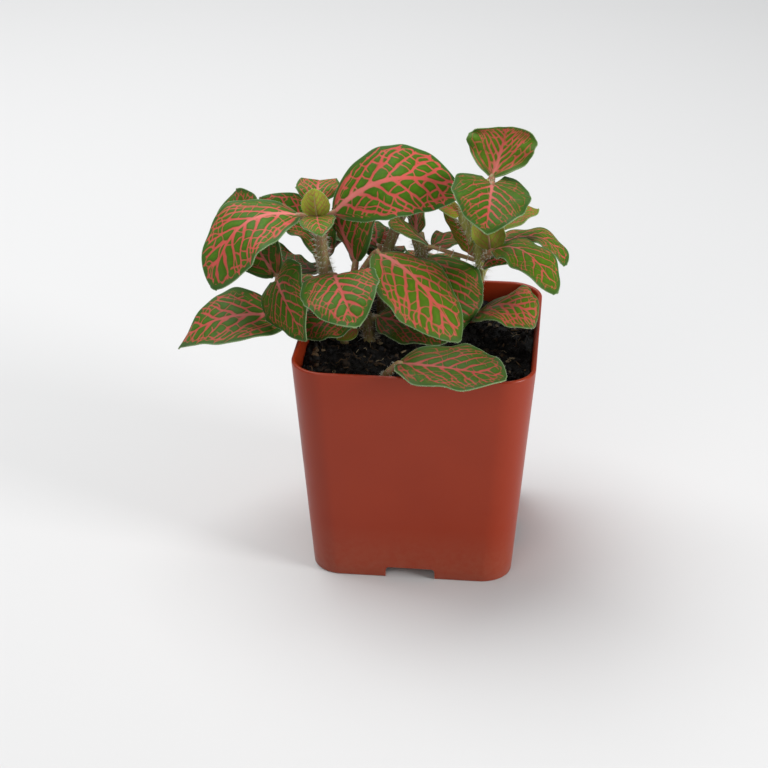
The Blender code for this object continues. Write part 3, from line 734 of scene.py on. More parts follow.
SHOOTS = {
    "shoot_left": ([(-18, 0.5, 50.5), (-20.5, 0.3, 60), (-22.6, 0, 70), (-23.6, 0, 80), (-23.6, 0.2, 84)], [
        Leaf((-23.4, 0, 79.5), (-27.7, -1, 81), (-43.3, -9.4, 87.1), (-46.6, -9.7, 65.7),
             (0, -0.2, 0.98), 21, fold=-8, cup=-0.07, shoulder=0.67, point=0.65, tone=-0.05, thin=-0.02),
        Leaf((-23.4, 0, 79.8), (-20.1, 0, 81.6), (-6.9, -9.2, 99.5), (8.6, 1.8, 87.2),
             (0.31, -0.6, 0.74), 18.3, fold=-8, cup=-0.04, shoulder=0.6, point=0.59, wave=0.1,
             thin=-0.06, rib=1.2),
        Leaf((-23.6, 0.5, 81), (-24.1, 3, 82.7), (-24.9, 7.7, 87), (-24.7, 13, 84),
             (0, -0.5, 0.9), 10.5, tone=0.1),
        Leaf((-23.5, -0.4, 80.5), (-23.5, -2, 81.3), (-23.3, -6.7, 82.8), (-21.2, -10.9, 80.5),
             (0, -0.5, 0.9), 8.2, wave=0.2, tone=0.12, thin=0.05),
        Leaf((-23.6, 0.2, 80.8), (-23.6, -1.5, 80.9), (-23.9, -3.6, 84.5), (-24.3, -2.2, 88.2),
             (0, 1, -0.2), 6.7, shoulder=0.5, point=0.62, wave=0, tone=1),
        Leaf((-21.8, -0.5, 66), (-19.1, -6.6, 69), (-18.1, -16.8, 73.9), (-11.8, -27.3, 66.2),
             (0.12, -0.87, 0.48), 18.1, fold=11, cup=0.21, shoulder=0.6, point=0.67, tone=-0.25, thin=0.04),
        Leaf((-22.2, 0.3, 67), (-24.4, 4, 68.6), (-25, 12, 74.7), (-39.1, 11.5, 79.9),
             (0.75, -0.45, 0.5), 13.8, fold=14, tone=-0.2),
        Leaf((-21.6, 0.5, 64), (-24.3, 4, 65.5), (-35.5, 8.5, 62.8), (-37.5, 16, 67.8),
             (0, -0.1, 1), 9.5, fold=7, tone=-0.8),
        Leaf((-19.8, 1, 57), (-17.5, 5, 57.5), (-17.5, 14, 61), (-19, 24, 54),
             (0, 0.2, 1), 11, tone=-0.5),
    ]),
    "shoot_far_left": ([(-20.5, 4, 50.5), (-23, 2.5, 54.5), (-26, 0.5, 58.5), (-29, -0.8, 62.5),
                        (-31, -1.5, 66)], [
        Leaf((-30.5, -1.4, 65), (-32.8, -3.4, 66), (-31, -11.1, 66), (-24.4, -16.8, 57.2),
             (-0.8, -0.2, 0.55), 15.4, fold=7, shoulder=0.4, lobe=2.5, tone=-0.15, thin=0.09),
        Leaf((-30.8, -1.5, 65.5), (-33.8, 1.5, 65), (-42.3, 2.7, 75.9), (-44.7, 12.2, 81),
             (-0.6, -0.3, 0.75), 15, fold=18, point=0.6, tone=-0.3, thin=0.05),
        Leaf((-26.5, 0.2, 59), (-30.2, -3.5, 56.6), (-47.9, -11.5, 62.4), (-56, -6.5, 48.6),
             (-0.47, -0.34, 0.81), 18.8, fold=-3, cup=-0.11, shoulder=0.63, point=1.21, wave=0.3,
             tone=-0.25),
        Leaf((-25.5, 0.9, 57.8), (-26, 5, 58), (-30, 13, 61), (-34, 20, 56),
             (0, 0.2, 1), 10.5, tone=-0.4),
    ]),
    "shoot_middle": ([(-12, 0, 50.5), (-12.8, 0, 56), (-15.2, 0.2, 61.5), (-16, 0.6, 65)], [
        Leaf((-15.9, 0.5, 63.6), (-10.6, -0.3, 72.3), (-0.9, -8.5, 73.8), (9.8, -11, 56.1),
             (0.69, -0.53, 0.49), 20.1, fold=-10, cup=0.03, shoulder=0.76, point=0.69, tone=0.12),
        Leaf((-16, 0.6, 64.2), (-15.4, 2, 68.8), (-20.5, 3.3, 79.4), (-20.4, 9.5, 79.5),
             (-0.79, -0.43, 0.43), 14.6, fold=-14, cup=0.34, point=0.77, tone=-0.2, thin=0.07, rib=1.9),
        Leaf((-12.2, 0, 55), (-10.2, 0.8, 55.6), (-2.5, -2.2, 56), (6.4, -4, 52.4),
             (0.1, -0.4, 0.9), 12.8, fold=14, tone=-0.8),
        Leaf((-12.3, 0, 56.5), (-15.5, -5, 57.9), (-21.7, -10.2, 60.6), (-26.4, -10.4, 55),
             (0, -0.5, 0.9), 11, tone=-0.6),
        Leaf((-12.2, -0.4, 53.6), (-14.5, -3.2, 54), (-17, -4.6, 54), (-19, -5.5, 52.4),
             (0, -0.4, 1), 5, wave=0, tone=0.8),
    ]),
    "shoot_back": ([(-10, 9, 50.5), (-9.8, 9.6, 60), (-9.3, 10, 67), (-7, 10.3, 74), (-5.5, 11, 79),
                    (-5.3, 11.2, 82)], [
        Leaf((-9.4, 10, 66), (-11, 12, 68.5), (-18, 19, 74), (-25, 25, 60),
             (-0.2, 0.2, 1), 15, tone=-0.5),
        Leaf((-9.6, 10, 63.5), (-9.2, 12.5, 64.8), (-10.5, 21, 67), (-12.5, 30, 58),
             (0, 0.2, 1), 10.5, tone=-0.4),
        Leaf((-5.4, 11, 79), (-6.3, 14.8, 81.6), (-9.3, 24, 90), (-10.5, 33, 80),
             (0, 0.1, 1), 14.5, shoulder=0.75),
        Leaf((-5.6, 11, 78.5), (-9, 11.4, 80.1), (-15, 13, 85.8), (-19.5, 12.6, 79.6),
             (0, -0.2, 1), 11),
        Leaf((-5.3, 11.1, 80.5), (-3.5, 10, 82.5), (1.5, 8, 87.5), (4.5, 9, 84.5),
             (0, -0.2, 1), 7, wave=0.2, tone=0.3),
    ]),
    "shoot_back_right": ([(2, 12, 50.5), (0.8, 12.3, 58), (-0.6, 12.8, 65), (-1.8, 13, 70),
                          (-2, 13.1, 72)], [
        Leaf((-2, 13.1, 70.5), (-2.2, 13.4, 72), (-2.4, 13.8, 76), (-2.4, 16, 80),
             (-0.8, -0.6, 0.2), 7.5, wave=0.2, tone=0.1, rib=3.5),
        Leaf((0.3, 12.5, 61), (0.3, 6.4, 67.8), (8, -2.7, 65.4), (9.9, -2.2, 55),
             (0, -0.3, 0.95), 18.6, fold=4, shoulder=0.58, lobe=1, tone=-0.35, thin=0.07),
        Leaf((-1, 13, 67), (1.5, 14.2, 68.3), (6.5, 18, 71), (10.5, 22, 65),
             (0.2, 0.1, 1), 9, tone=-0.6),
        Leaf((0, 13.2, 61), (0.6, 16, 60.8), (1, 25, 64), (0.5, 34.8, 56),
             (0, 0.2, 1), 14, tone=-0.2),
        Leaf((1.2, 12.4, 56), (4, 14.5, 56.2), (8, 19.5, 58.8), (9.5, 25, 56.8),
             (0.2, 0.2, 1), 9, tone=-0.4),
    ]),
    "shoot_right": ([(9.5, 14, 50.5), (11, 13, 57), (12.8, 10.4, 63.1), (13.4, 7.2, 68.5),
                     (11.3, 4.2, 75.5), (9.4, 2.6, 82), (12.2, 1.2, 87), (15.4, 0.5, 90)], [
        Leaf((15.2, 0.6, 89.8), (15.5, 1.2, 91.3), (18.2, 5.9, 98.2), (18, 6.9, 101.2),
             (-0.3, -0.8, 0.5), 17.3, fold=15, shoulder=0.6, point=0.45, tone=0.15, thin=0.03),
        Leaf((15.2, 0.4, 89.8), (15.6, -1.4, 90.6), (15.7, -11.7, 90.2), (15.2, -17.4, 85.3),
             (0.15, -0.6, 0.8), 18.3, fold=17, shoulder=0.42, lobe=3, tone=-0.3, thin=0.11),
        Leaf((9.5, 2.6, 81), (8.2, 2.2, 81.6), (6.5, 1.8, 83.6), (3.4, 1.2, 83.4),
             (0.1, -0.3, 1), 6, wave=0, tone=0.8),
        Leaf((13.3, 7.6, 67.8), (1.3, 4.8, 72.4), (-4.7, 4.2, 77.7), (-7.9, 4.8, 78.2),
             (0, 0, 1), 7.8, fold=6, shoulder=0.8, point=0.45, wave=0.1, tone=-0.4, thin=0.07),
        Leaf((13.2, 7, 69.2), (10.6, 4.4, 71.4), (11, 6.8, 75), (4.5, 5.3, 81),
             (-0.8, -0.4, 0.4), 8, fold=15, wave=0.1, tone=0.3),
        Leaf((12.8, 6.2, 70.8), (15.4, 3, 72.8), (15.2, -0.2, 79), (14, -0.5, 84),
             (0, 0.95, 0.3), 8, fold=12, cup=0.3, wave=0.2, tone=0.6),
        Leaf((13.5, 7, 68.6), (16.2, -2.6, 75), (24.4, -4.1, 80), (31, -12.3, 69.5),
             (0, 0, 1), 13, fold=1, cup=0.08, point=0.69, tone=0.08, thin=0.09),
        Leaf((13.3, 7, 69), (16.7, 5.5, 72.9), (28.3, 9.1, 78.1), (32.6, 5.6, 68.6),
             (-0.06, 0.05, 1), 11.2, shoulder=0.65, tone=0.05, thin=0.05),
        Leaf((12.3, 5.6, 72), (16.2, 4.2, 76.6), (22, 6.5, 81.6), (25.7, 11, 80),
             (0, 0, 1), 7.8, wave=0.3, tone=0.6),
        Leaf((13.2, 8.4, 66.4), (14.1, 3.8, 68), (15.6, 0.6, 72.6), (20, 0, 71),
             (0, -0.6, 0.8), 3.8, wave=0, tone=-0.2),
        Leaf((12.5, 6, 71.4), (13.3, 7.9, 72.2), (12.6, 15, 76.2), (12, 24, 65.5),
             (0, 0.3, 1), 11),
        Leaf((10.1, 13.6, 53.4), (10.8, 8.8, 52.4), (21.4, 0, 64.9), (26.5, 1.7, 55.6),
             (0.25, -0.25, 0.95), 16.5, fold=8, point=0.5, tone=0.15, thin=-0.04),
    ]),
    "shoot_front": ([(-6.5, -21.5, 50.5), (-6, -21.7, 52), (-5, -22, 53.4)], [
        # Its low tone paints the shade that the leaves above cast on it.
        Leaf((-5.2, -22, 53), (-3, -22, 55.2), (10.2, -28.6, 58.1), (21.2, -30.2, 56.8),
             (0, -0.15, 1), 17.8, fold=12, shoulder=0.5, point=0.6, tone=-0.55, thin=0.05),
    ]),
}
print("leaves of each shoot", {name: len(leaves) for name, (stem, leaves) in SHOOTS.items()})

# %% [markdown]
# The nerve plant is known for its veins. From a thick midrib, side veins leave to left
# and right by turns and bow towards the tip, and most of them fork half way out. Short
# cross veins join them like rungs, closer together towards the margin. There the veins
# close into loops or end open, and leave a plain green border. A painted picture of
# such a net would blur close by, and modelled veins would take millions of faces. So
# each point of the mesh carries its place in the leaf's growth, and the material draws
# the net from that.
#
# First comes the bare form: a midrib on the arc of three points, and an outline whose
# two powers round the base and draw out the tip.

# %% A leaf's midrib and outline
FULL_WIDTH = 18.0


def midrib(leaf, along):
    """Points of the midrib's arc, with the ways ahead and up from the upper face."""
    base, bow, tip = (np.array(point, float) for point in (leaf.base, leaf.bow, leaf.tip))
    along = along[:, None]
    rest = 1 - along
    points = rest ** 2 * base + 2 * rest * along * bow + along ** 2 * tip
    ahead = unit(rest * (bow - base) + along * (tip - bow))
    looks = np.array(leaf.looks, float)
    return points, ahead, unit(looks - (ahead @ looks)[:, None] * ahead)


def outline(leaf, along):
    """The blade's half width as a share of the most: round base, drawn-out tip."""
    along = np.clip(along, 0.008, 0.994)
    widest = leaf.shoulder / (leaf.shoulder + leaf.point)
    return (along / widest) ** leaf.shoulder * ((1 - along) / (1 - widest)) ** leaf.point


widths = [leaf.width for stem, leaves in SHOOTS.values() for leaf in leaves]
print("leaves", len(widths), "from", min(widths), "to", max(widths), "mm wide")

# %% [markdown]
# Growth is never even, so slow noise bends the rows of veins. The plain border is
# measured from the margin, as the shortest way to the closed line of the outline.

# %% Slow noise, and the way to the margin


def wander(places, pace, seed):
    """Slow noise over flat places in millimetres, from about -1 to 1."""
    flat = places.reshape(-1, 2) * pace
    values = [noise.noise(Vector((across, along, seed))) for across, along in flat]
    return np.array(values).reshape(places.shape[:-1])


def distance_to_edge(places, edge):
    """Distance of flat places from a closed line, in millimetres."""
    best = np.full(places.shape[:-1], 1e9)
    for start, end in zip(edge, np.roll(edge, -1, axis=0)):
        step = end - start
        offset = places - start
        share = np.clip(offset @ step / max(step @ step, 1e-9), 0, 1)[..., None]
        best = np.minimum(best, np.linalg.norm(offset - share * step, axis=-1))
    return best


print("noise at two places", wander(np.array([[1.0, 2.0], [5.0, 9.0]]), 0.22, 0.0).round(2))

# %% [markdown]
# A side vein leaves the midrib at a slant and bends forward. Behind the first one, the
# veins of the base fan out from one point. Rows count the veins from base to tip, so a
# vein lies wherever the row is a whole number.

# %% Rows of side veins
SIDE_VEINS = 6.9
LEAVE = 1.05
BEND = 0.42
FAN_STEP = math.radians(25)


def side_vein_rows(reach, distance, width, length):
    """Rows at flat places, how far apart they lie, the way along them, and their skew."""
    bend = BEND / (width / 2)
    spacing = length / (SIDE_VEINS * min(1.0, 0.5 + 0.5 * width / FULL_WIDTH))
    forward = distance - bend * reach ** 2
    ahead = (forward - LEAVE * reach) / spacing
    slope = LEAVE + 2 * bend * reach
    fan = (math.atan(1 / LEAVE) - np.arctan2(reach, forward)) / FAN_STEP
    spread = np.maximum(np.hypot(reach, forward), 0.2)
    turn = np.hypot(forward + 2 * bend * reach ** 2, reach) / spread ** 2 / FAN_STEP
    apart = np.where(ahead > 0, spacing / np.hypot(1, slope), 1 / np.maximum(turn, 0.05))
    way = reach * (np.hypot(1, LEAVE) + np.hypot(1, slope)) / 2
    travelled = np.where(ahead > 0, way, spread)
    skew = np.where(ahead > 0, spacing * LEAVE / math.hypot(1, LEAVE), 0.0)
    return np.where(ahead > 0, ahead, fan), apart, travelled, skew


rows, apart, _, _ = side_vein_rows(np.array([0.0, 6.0]), np.array([12.0, 18.0]), FULL_WIDTH, 26)
print("rows at two places", rows.round(2), "and millimetres to a row", apart.round(2))

# %% [markdown]
# From the rows come the values that the material reads at a point: its row and rung,
# the size of its cell of the net, its distances from midrib and margin, and how wide
# the veins are there. They are in millimetres of a leaf of full width, so a small leaf
# gets the same net, only smaller. Numpy works them out once for each point of the
# mesh, and the shader keeps only what has to be sharper than the mesh.

# %% Growth values of a blade
Growth = namedtuple(
    "Growth", "row row_mm rung rung_mm skew aside margin bow wide twig fork rib pale tone thin")
RUNG_MM = 2.1
RUNG_PACE = (0.5, 0.4)
ROW_REACH = 0.9
OTHER_LEAF = 17
BORDER_MM = 0.9
RIB_MM = 0.52
RIB_TAPER = 0.7
RIB_SUNK_MM = 0.35
PALE_SHARE = 0.65
FORK_START = 0.4
SIDE_VEIN_MM = (0.36, 0.13)
TWIG_MM = 0.1
WIDE_SHARE = 0.2
FAN_SHARE = 0.7
LOOP_BULGE = 2.2
BULGE_ROW_MM = 1.8
ROW_WANDER = 0.2
ROW_WANDERS_EACH_MM = 0.22
RUNG_WANDER = 0.25
RUNG_WANDERS_EACH_MM = 0.3
CALM_MM = 1.5
OTHER_HALF = 0.5


def grow(leaf, number, phase, flat, margin, along, length):
    """The growth values at the places of a blade that is laid flat."""
    reach = np.abs(flat[..., 0])
    row, apart, travelled, skew = side_vein_rows(reach, flat[..., 1], leaf.width, length)
    bent = ROW_WANDER * wander(flat, ROW_WANDERS_EACH_MM, phase)
    row = row + bent * (1 - np.exp(-reach / CALM_MM))
    row = row + OTHER_HALF * (flat[..., 0] < 0)
    size = min(1.1, max(0.45, leaf.width / FULL_WIDTH))
    share = travelled / (ROW_REACH * leaf.width)
    rung = travelled / (RUNG_MM * size) * (RUNG_PACE[0] + RUNG_PACE[1] * share)
    rung = rung + RUNG_WANDER * wander(flat, RUNG_WANDERS_EACH_MM, phase + 40)
    rung = rung + OTHER_LEAF * number
    skew = skew / (RUNG_MM * size) * (RUNG_PACE[0] + 2 * RUNG_PACE[1] * share)

    reach, margin, row_mm = reach / size, margin / size, apart / size
    out = np.clip(reach / np.maximum(reach + margin - BORDER_MM, 0.01), 0, 1)
    wide = SIDE_VEIN_MM[0] + (SIDE_VEIN_MM[1] - SIDE_VEIN_MM[0]) * out
    wide = wide * np.interp(row, [-0.4, 0.2], [FAN_SHARE, 1])
    forked = np.clip(out / FORK_START - 1, 0, 1)
    rib = RIB_MM * leaf.rib * (1 - RIB_TAPER * along) * np.clip(0.5 + 4 * along, 0, 1)
    return Growth(
        row=row, row_mm=row_mm, rung=rung, skew=skew,
        rung_mm=RUNG_MM / (RUNG_PACE[0] + 2 * RUNG_PACE[1] * out),
        aside=flat[..., 0] / size, margin=margin,
        bow=LOOP_BULGE * np.minimum(row_mm, BULGE_ROW_MM),
        wide=np.minimum(wide, WIDE_SHARE * row_mm),
        twig=np.minimum(TWIG_MM, WIDE_SHARE / 2 * row_mm),
        fork=forked ** 2 * (1.5 - forked),
        rib=reach - rib + np.interp(along, [0.85, 0.97], [0, RIB_SUNK_MM]),
        pale=np.interp(along, [0, PALE_SHARE], [1, 0]), tone=leaf.tone, thin=leaf.thin)


# %% [markdown]
# The blade starts as a grid of points, closer together at base and tip. It is folded
# along the midrib, cupped, ruffled and scalloped at its edge, and quilted: the green
# swells a little between the sunken side veins.

# %% The blade's middle sheet
CELL_MM = 0.5
QUILT_MM = 0.17
RUFFLES = 5
SCALLOP = 0.018
SCALLOPS = 31


def blade_grid(leaf, number, phase):
    """The blade's middle sheet as a grid of points, with its growth values."""
    fine = midrib(leaf, np.linspace(0, 1, 60))[0]
    length = np.linalg.norm(np.diff(fine, axis=0), axis=1).sum()
    rows = max(14, int(length / CELL_MM))
    columns = 2 * max(5, int(leaf.width / 2 / CELL_MM))
    even = np.linspace(0, 1, rows + 1)
    along = 0.5 * even + 0.5 * (0.5 - 0.5 * np.cos(math.pi * even))
    spine, ahead, up = midrib(leaf, along)
    left = np.cross(up, ahead)
    along = along[:, None]
    across = np.linspace(-1, 1, columns + 1)[None, :]
    side = np.where(across < 0, -1.0, 1.0)
    half = leaf.width / 2 * outline(leaf, along)
    reach = half * (1 + SCALLOP * np.sin(SCALLOPS * along + phase)) * np.abs(across)
    back = leaf.lobe * across ** 2 * (1 - along) ** 3
    flat = np.stack(np.broadcast_arrays(reach * side, length * along - back), axis=-1)
    margin = distance_to_edge(flat, np.concatenate([flat[:, -1], flat[::-1, 0]]))
    growth = grow(leaf, number, phase, flat, margin, along, length)

    between = growth.row % 1
    quilt = (4 * between * (1 - between)) ** 0.8 * (1 - np.exp(-reach / 0.9))
    quilt = quilt * np.clip(margin / 2, 0, 1) * min(1.0, leaf.width / 12)
    fold = math.radians(leaf.fold)
    rise = reach * math.sin(fold) - leaf.cup * reach ** 2 / (leaf.width / 2)
    rise = rise + leaf.wave * across ** 2 * np.sin(RUFFLES * math.pi * along + phase * side)
    rise = rise + QUILT_MM * quilt
    sheet = (spine[:, None, :] + left[:, None, :] * (reach * side * math.cos(fold))[..., None]
             + up[:, None, :] * rise[..., None] - ahead[0] * back[..., None])
    return sheet, growth


FIRST_LEAF = SHOOTS["shoot_left"][1][0]
print("grid of the first leaf", blade_grid(FIRST_LEAF, 0, 0.0)[0].shape)

# %% [markdown]
# A leaf has two faces and an edge. So the sheet is doubled, each copy is moved out by
# half the thickness, which thins towards the margin, and a rim of faces closes the two.

# %% Close the sheet to a thin blade
BLADE_MM = 0.42
THINNER_EDGE = 0.45
Blade = namedtuple("Blade", "points faces down growth margin")


def blade(leaf, number, phase):
    """A closed thin blade, which of its faces look down, and its margin with normals."""
    sheet, growth = blade_grid(leaf, number, phase)
    rows, columns = sheet.shape[:2]
    looks = np.array(leaf.looks, float)
    normal = unit(np.cross(np.gradient(sheet, axis=0), np.gradient(sheet, axis=1)))
    if (normal @ looks).mean() < 0:
        normal = -normal
    thick = BLADE_MM * (1 - THINNER_EDGE * np.abs(np.linspace(-1, 1, columns)))[None, :, None]
    top = (sheet + normal * thick / 2).reshape(-1, 3)
    under = (sheet - normal * thick / 2).reshape(-1, 3)
    index = np.arange(rows * columns).reshape(rows, columns)
    quads = np.stack([index[:-1, :-1], index[:-1, 1:], index[1:, 1:], index[1:, :-1]], axis=-1)
    quads = quads.reshape(-1, 4)
    edge = np.concatenate([index[0, :-1], index[:-1, -1], index[-1, :0:-1], index[:0:-1, 0]])
    after = np.roll(edge, -1)
    rim = np.stack([edge + rows * columns, after + rows * columns, after, edge], axis=-1)
    corner = top[quads[:, :3]]
    facing = np.cross(corner[:, 1] - corner[:, 0], corner[:, 2] - corner[:, 1])
    if (facing @ looks).sum() < 0:
        quads, rim = quads[:, ::-1], rim[:, ::-1]
    faces = np.concatenate([quads, quads[:, ::-1] + rows * columns, rim])
    growth = [np.tile(np.broadcast_to(layer, (rows, columns)).ravel(), 2) for layer in growth]
    margin = ((top[edge] + under[edge]) / 2, normal.reshape(-1, 3)[edge])
    down = np.arange(len(faces)) >= len(quads)
    return Blade(np.concatenate([top, under]), faces, down, growth, margin)


print("faces of the first leaf", len(blade(FIRST_LEAF, 0, 0.0).faces))

# %% [markdown]
# Now the net. In the shader every vein is a distance in millimetres to its edge, less
# than nothing inside the vein, and the nearest vein wins. A cell of the net lies
# between two side veins, and a folded sine gives it steady numbers, which place its
# rungs, open its loop or fork its vein, so that no two cells look alike.

# %% Where a point lies in the net
WOBBLE_MM = 2.6
WOBBLE_ROWS = 0.45
LEFT_ROWS = 31.0
FAR = 5.0
HASH_ROW = 12.9898
HASH_RUNG = 4.1414
HASH_FOLDS = 57.31
Cell = namedtuple("Cell", "row between centred own_row beyond")


def number_from(tree, row, rung, salt):
    """A steady number from 0 to 1 for each cell of the net."""
    mixed = add(tree, "Math", [row, HASH_ROW, salt], operation="MULTIPLY_ADD")
    mixed = add(tree, "Math", [rung, HASH_RUNG, mixed], operation="MULTIPLY_ADD")
    wave = add(tree, "Math", [mixed], operation="SINE")
    large = add(tree, "Math", [wave, HASH_FOLDS], operation="MULTIPLY")
    return add(tree, "Math", [large], operation="FRACT")


def net_cell(tree, growth):
    """Between which side veins a point lies, and how far beyond the line of loops."""
    place = add(tree, "NewGeometry").outputs["Position"]
    wobble = add(tree, "TexNoise", {"Vector": place, "Scale": 1 / (WOBBLE_MM * MM), "Detail": 0.5})
    wobble = add(tree, "Math", [wobble, 0.5], operation="SUBTRACT")
    row = add(tree, "Math", [wobble, WOBBLE_ROWS, growth.row], operation="MULTIPLY_ADD")
    between = add(tree, "Math", [row], operation="FRACT")
    centred = add(tree, "Math", [between, 0.5], operation="SUBTRACT")
    own_row = add(tree, "Math", [row], operation="FLOOR")
    left_side = add(tree, "Math", [growth.aside, 0.0], operation="LESS_THAN")
    own_row = add(tree, "Math", [left_side, LEFT_ROWS, own_row], operation="MULTIPLY_ADD")
    beyond = add(tree, "Math", [centred, centred], operation="MULTIPLY")
    beyond = add(tree, "Math", [beyond, growth.bow, BORDER_MM], operation="MULTIPLY_ADD")
    beyond = add(tree, "Math", [beyond, growth.margin], operation="SUBTRACT")
    return Cell(row, between, centred, own_row, beyond)


# %% [markdown]
# Side veins are thick at the midrib and thin out. Half way to the margin most of them
# fork, and the branch runs on in the middle between two of them. The loops are arcs
# that bow outwards from vein to vein, and some of them stay open.

# %% Side veins, branches and loops
WHOLE_VEINS = 0.4
UPPER_BRANCHES = 0.3
OPEN_LOOPS = 0.4
LOOP_WIDE_MM = 0.08


def side_vein(tree, growth, cell):
    """The nearest side vein."""
    nearest = add(tree, "Math", [cell.row, 0.5], operation="PINGPONG")
    vein = add(tree, "Math", [nearest, growth.row_mm], operation="MULTIPLY")
    return add(tree, "Math", [vein, growth.wide], operation="SUBTRACT")


def branch(tree, growth, cell):
    """The branch in a cell, from its upper or its lower vein."""
    chance = number_from(tree, cell.own_row, 3.0, 4.4)
    whole = add(tree, "Math", [chance, WHOLE_VEINS], operation="LESS_THAN")
    upper = add(tree, "Math", [chance, 1 - UPPER_BRANCHES], operation="GREATER_THAN")
    vein = add(tree, "Math", [upper, cell.between], operation="SUBTRACT")
    vein = add(tree, "Math", [vein], operation="ABSOLUTE")
    vein = add(tree, "Math", [vein, growth.fork], operation="SUBTRACT")
    vein = add(tree, "Math", [vein], operation="ABSOLUTE")
    vein = add(tree, "Math", [vein, growth.row_mm], operation="MULTIPLY")
    vein = add(tree, "Math", [vein, growth.twig], operation="SUBTRACT")
    return add(tree, "Math", [whole, FAR, vein], operation="MULTIPLY_ADD")


def loop(tree, cell):
    """The loop of a cell, or nothing near where it stays open."""
    vein = add(tree, "Math", [cell.beyond], operation="ABSOLUTE")
    vein = add(tree, "Math", [vein, LOOP_WIDE_MM], operation="SUBTRACT")
    chance = number_from(tree, cell.own_row, 7.0, 2.9)
    is_open = add(tree, "Math", [chance, OPEN_LOOPS], operation="LESS_THAN")
    return add(tree, "Math", [is_open, FAR, vein], operation="MULTIPLY_ADD")


# %% [markdown]
# There is one rung to each step of the rung value. Its numbers shift and tilt it, set
# its width, leave a few rungs out, and let a few stop half way as spurs.

# %% Rungs
RUNG_WIDE_MM = (0.06, 0.08)
RUNG_SHIFT = (0.25, 0.5)
RUNG_TILT = 0.9
SPUR_FADE_MM = 0.6
ABSENT = 0.07
SPURS = 0.14


def rung(tree, growth, cell):
    """The rung of a point's step between two side veins."""
    steps = add(tree, "Math", [cell.between, growth.skew, growth.rung], operation="MULTIPLY_ADD")
    own_rung = add(tree, "Math", [steps], operation="FLOOR")
    shift = number_from(tree, cell.own_row, own_rung, 1.7)
    tilt = number_from(tree, cell.own_row, own_rung, 5.3)
    there = number_from(tree, cell.own_row, own_rung, 9.1)
    step = add(tree, "Math", [steps], operation="FRACT")
    place = add(tree, "Math", [shift, RUNG_SHIFT[1], RUNG_SHIFT[0]], operation="MULTIPLY_ADD")
    lean = add(tree, "Math", [tilt, 0.5], operation="SUBTRACT")
    lean = add(tree, "Math", [lean, cell.centred], operation="MULTIPLY")
    place = add(tree, "Math", [lean, RUNG_TILT, place], operation="MULTIPLY_ADD")
    vein = add(tree, "Math", [step, place], operation="SUBTRACT")
    vein = add(tree, "Math", [vein], operation="ABSOLUTE")
    vein = add(tree, "Math", [vein, growth.rung_mm], operation="MULTIPLY")
    wide = add(tree, "Math", [tilt, RUNG_WIDE_MM[1], RUNG_WIDE_MM[0]], operation="MULTIPLY_ADD")
    vein = add(tree, "Math", [vein, wide], operation="SUBTRACT")
    absent = add(tree, "Math", [there, ABSENT], operation="LESS_THAN")
    vein = add(tree, "Math", [absent, FAR, vein], operation="MULTIPLY_ADD")
    spur = add(tree, "Math", [there, 1 - SPURS], operation="GREATER_THAN")
    past_half = add(tree, "MapRange", [cell.between, 0.5, 1.0, 0.0, SPUR_FADE_MM])
    return add(tree, "Math", [spur, past_half, vein], operation="MULTIPLY_ADD")


# %% [markdown]
# Past the loops only short ends of the side veins and branches run on. Smooth minimums
# join all veins with webbed corners, as in a real leaf, and a last noise lets every
# vein swell and shrink a little along its way.

# %% The whole net
STUB_MM = 0.6
STUB_FADE = 2.0
RUNG_FADE = 3.0
FORK_WEB = 0.2
LOOP_WEB = 0.4
RUNG_WEB = 0.5
RIB_WEB = 0.6
SWELL_MM = 1.8
SWELL = 0.06


def vein_distance(tree, growth):
    """A point's distance to the nearest vein's edge, in millimetres."""
    cell = net_cell(tree, growth)
    past = add(tree, "Math", [cell.beyond, 0.0], operation="MAXIMUM")
    stub = add(tree, "Math", [past, -STUB_MM], operation="ADD")
    stub = add(tree, "Math", [stub, 0.0], operation="MAXIMUM")
    veins = side_vein(tree, growth, cell)
    veins = add(tree, "Math", [stub, STUB_FADE, veins], operation="MULTIPLY_ADD")
    forks = branch(tree, growth, cell)
    forks = add(tree, "Math", [stub, STUB_FADE, forks], operation="MULTIPLY_ADD")
    rungs = rung(tree, growth, cell)
    rungs = add(tree, "Math", [past, RUNG_FADE, rungs], operation="MULTIPLY_ADD")
    loops = loop(tree, cell)
    for others, web in ((forks, FORK_WEB), (loops, LOOP_WEB), (rungs, RUNG_WEB),
                        (growth.rib, RIB_WEB)):
        veins = add(tree, "Math", [veins, others, web], operation="SMOOTH_MIN")
    place = add(tree, "NewGeometry").outputs["Position"]
    swell = add(tree, "TexNoise", {"Vector": place, "Scale": 1 / (SWELL_MM * MM), "Detail": 1.0})
    swell = add(tree, "MapRange", [swell, 0.3, 0.7, SWELL, -SWELL])
    veins = add(tree, "Math", [veins, swell], operation="ADD")
    return add(tree, "Math", [veins, growth.thin], operation="ADD")
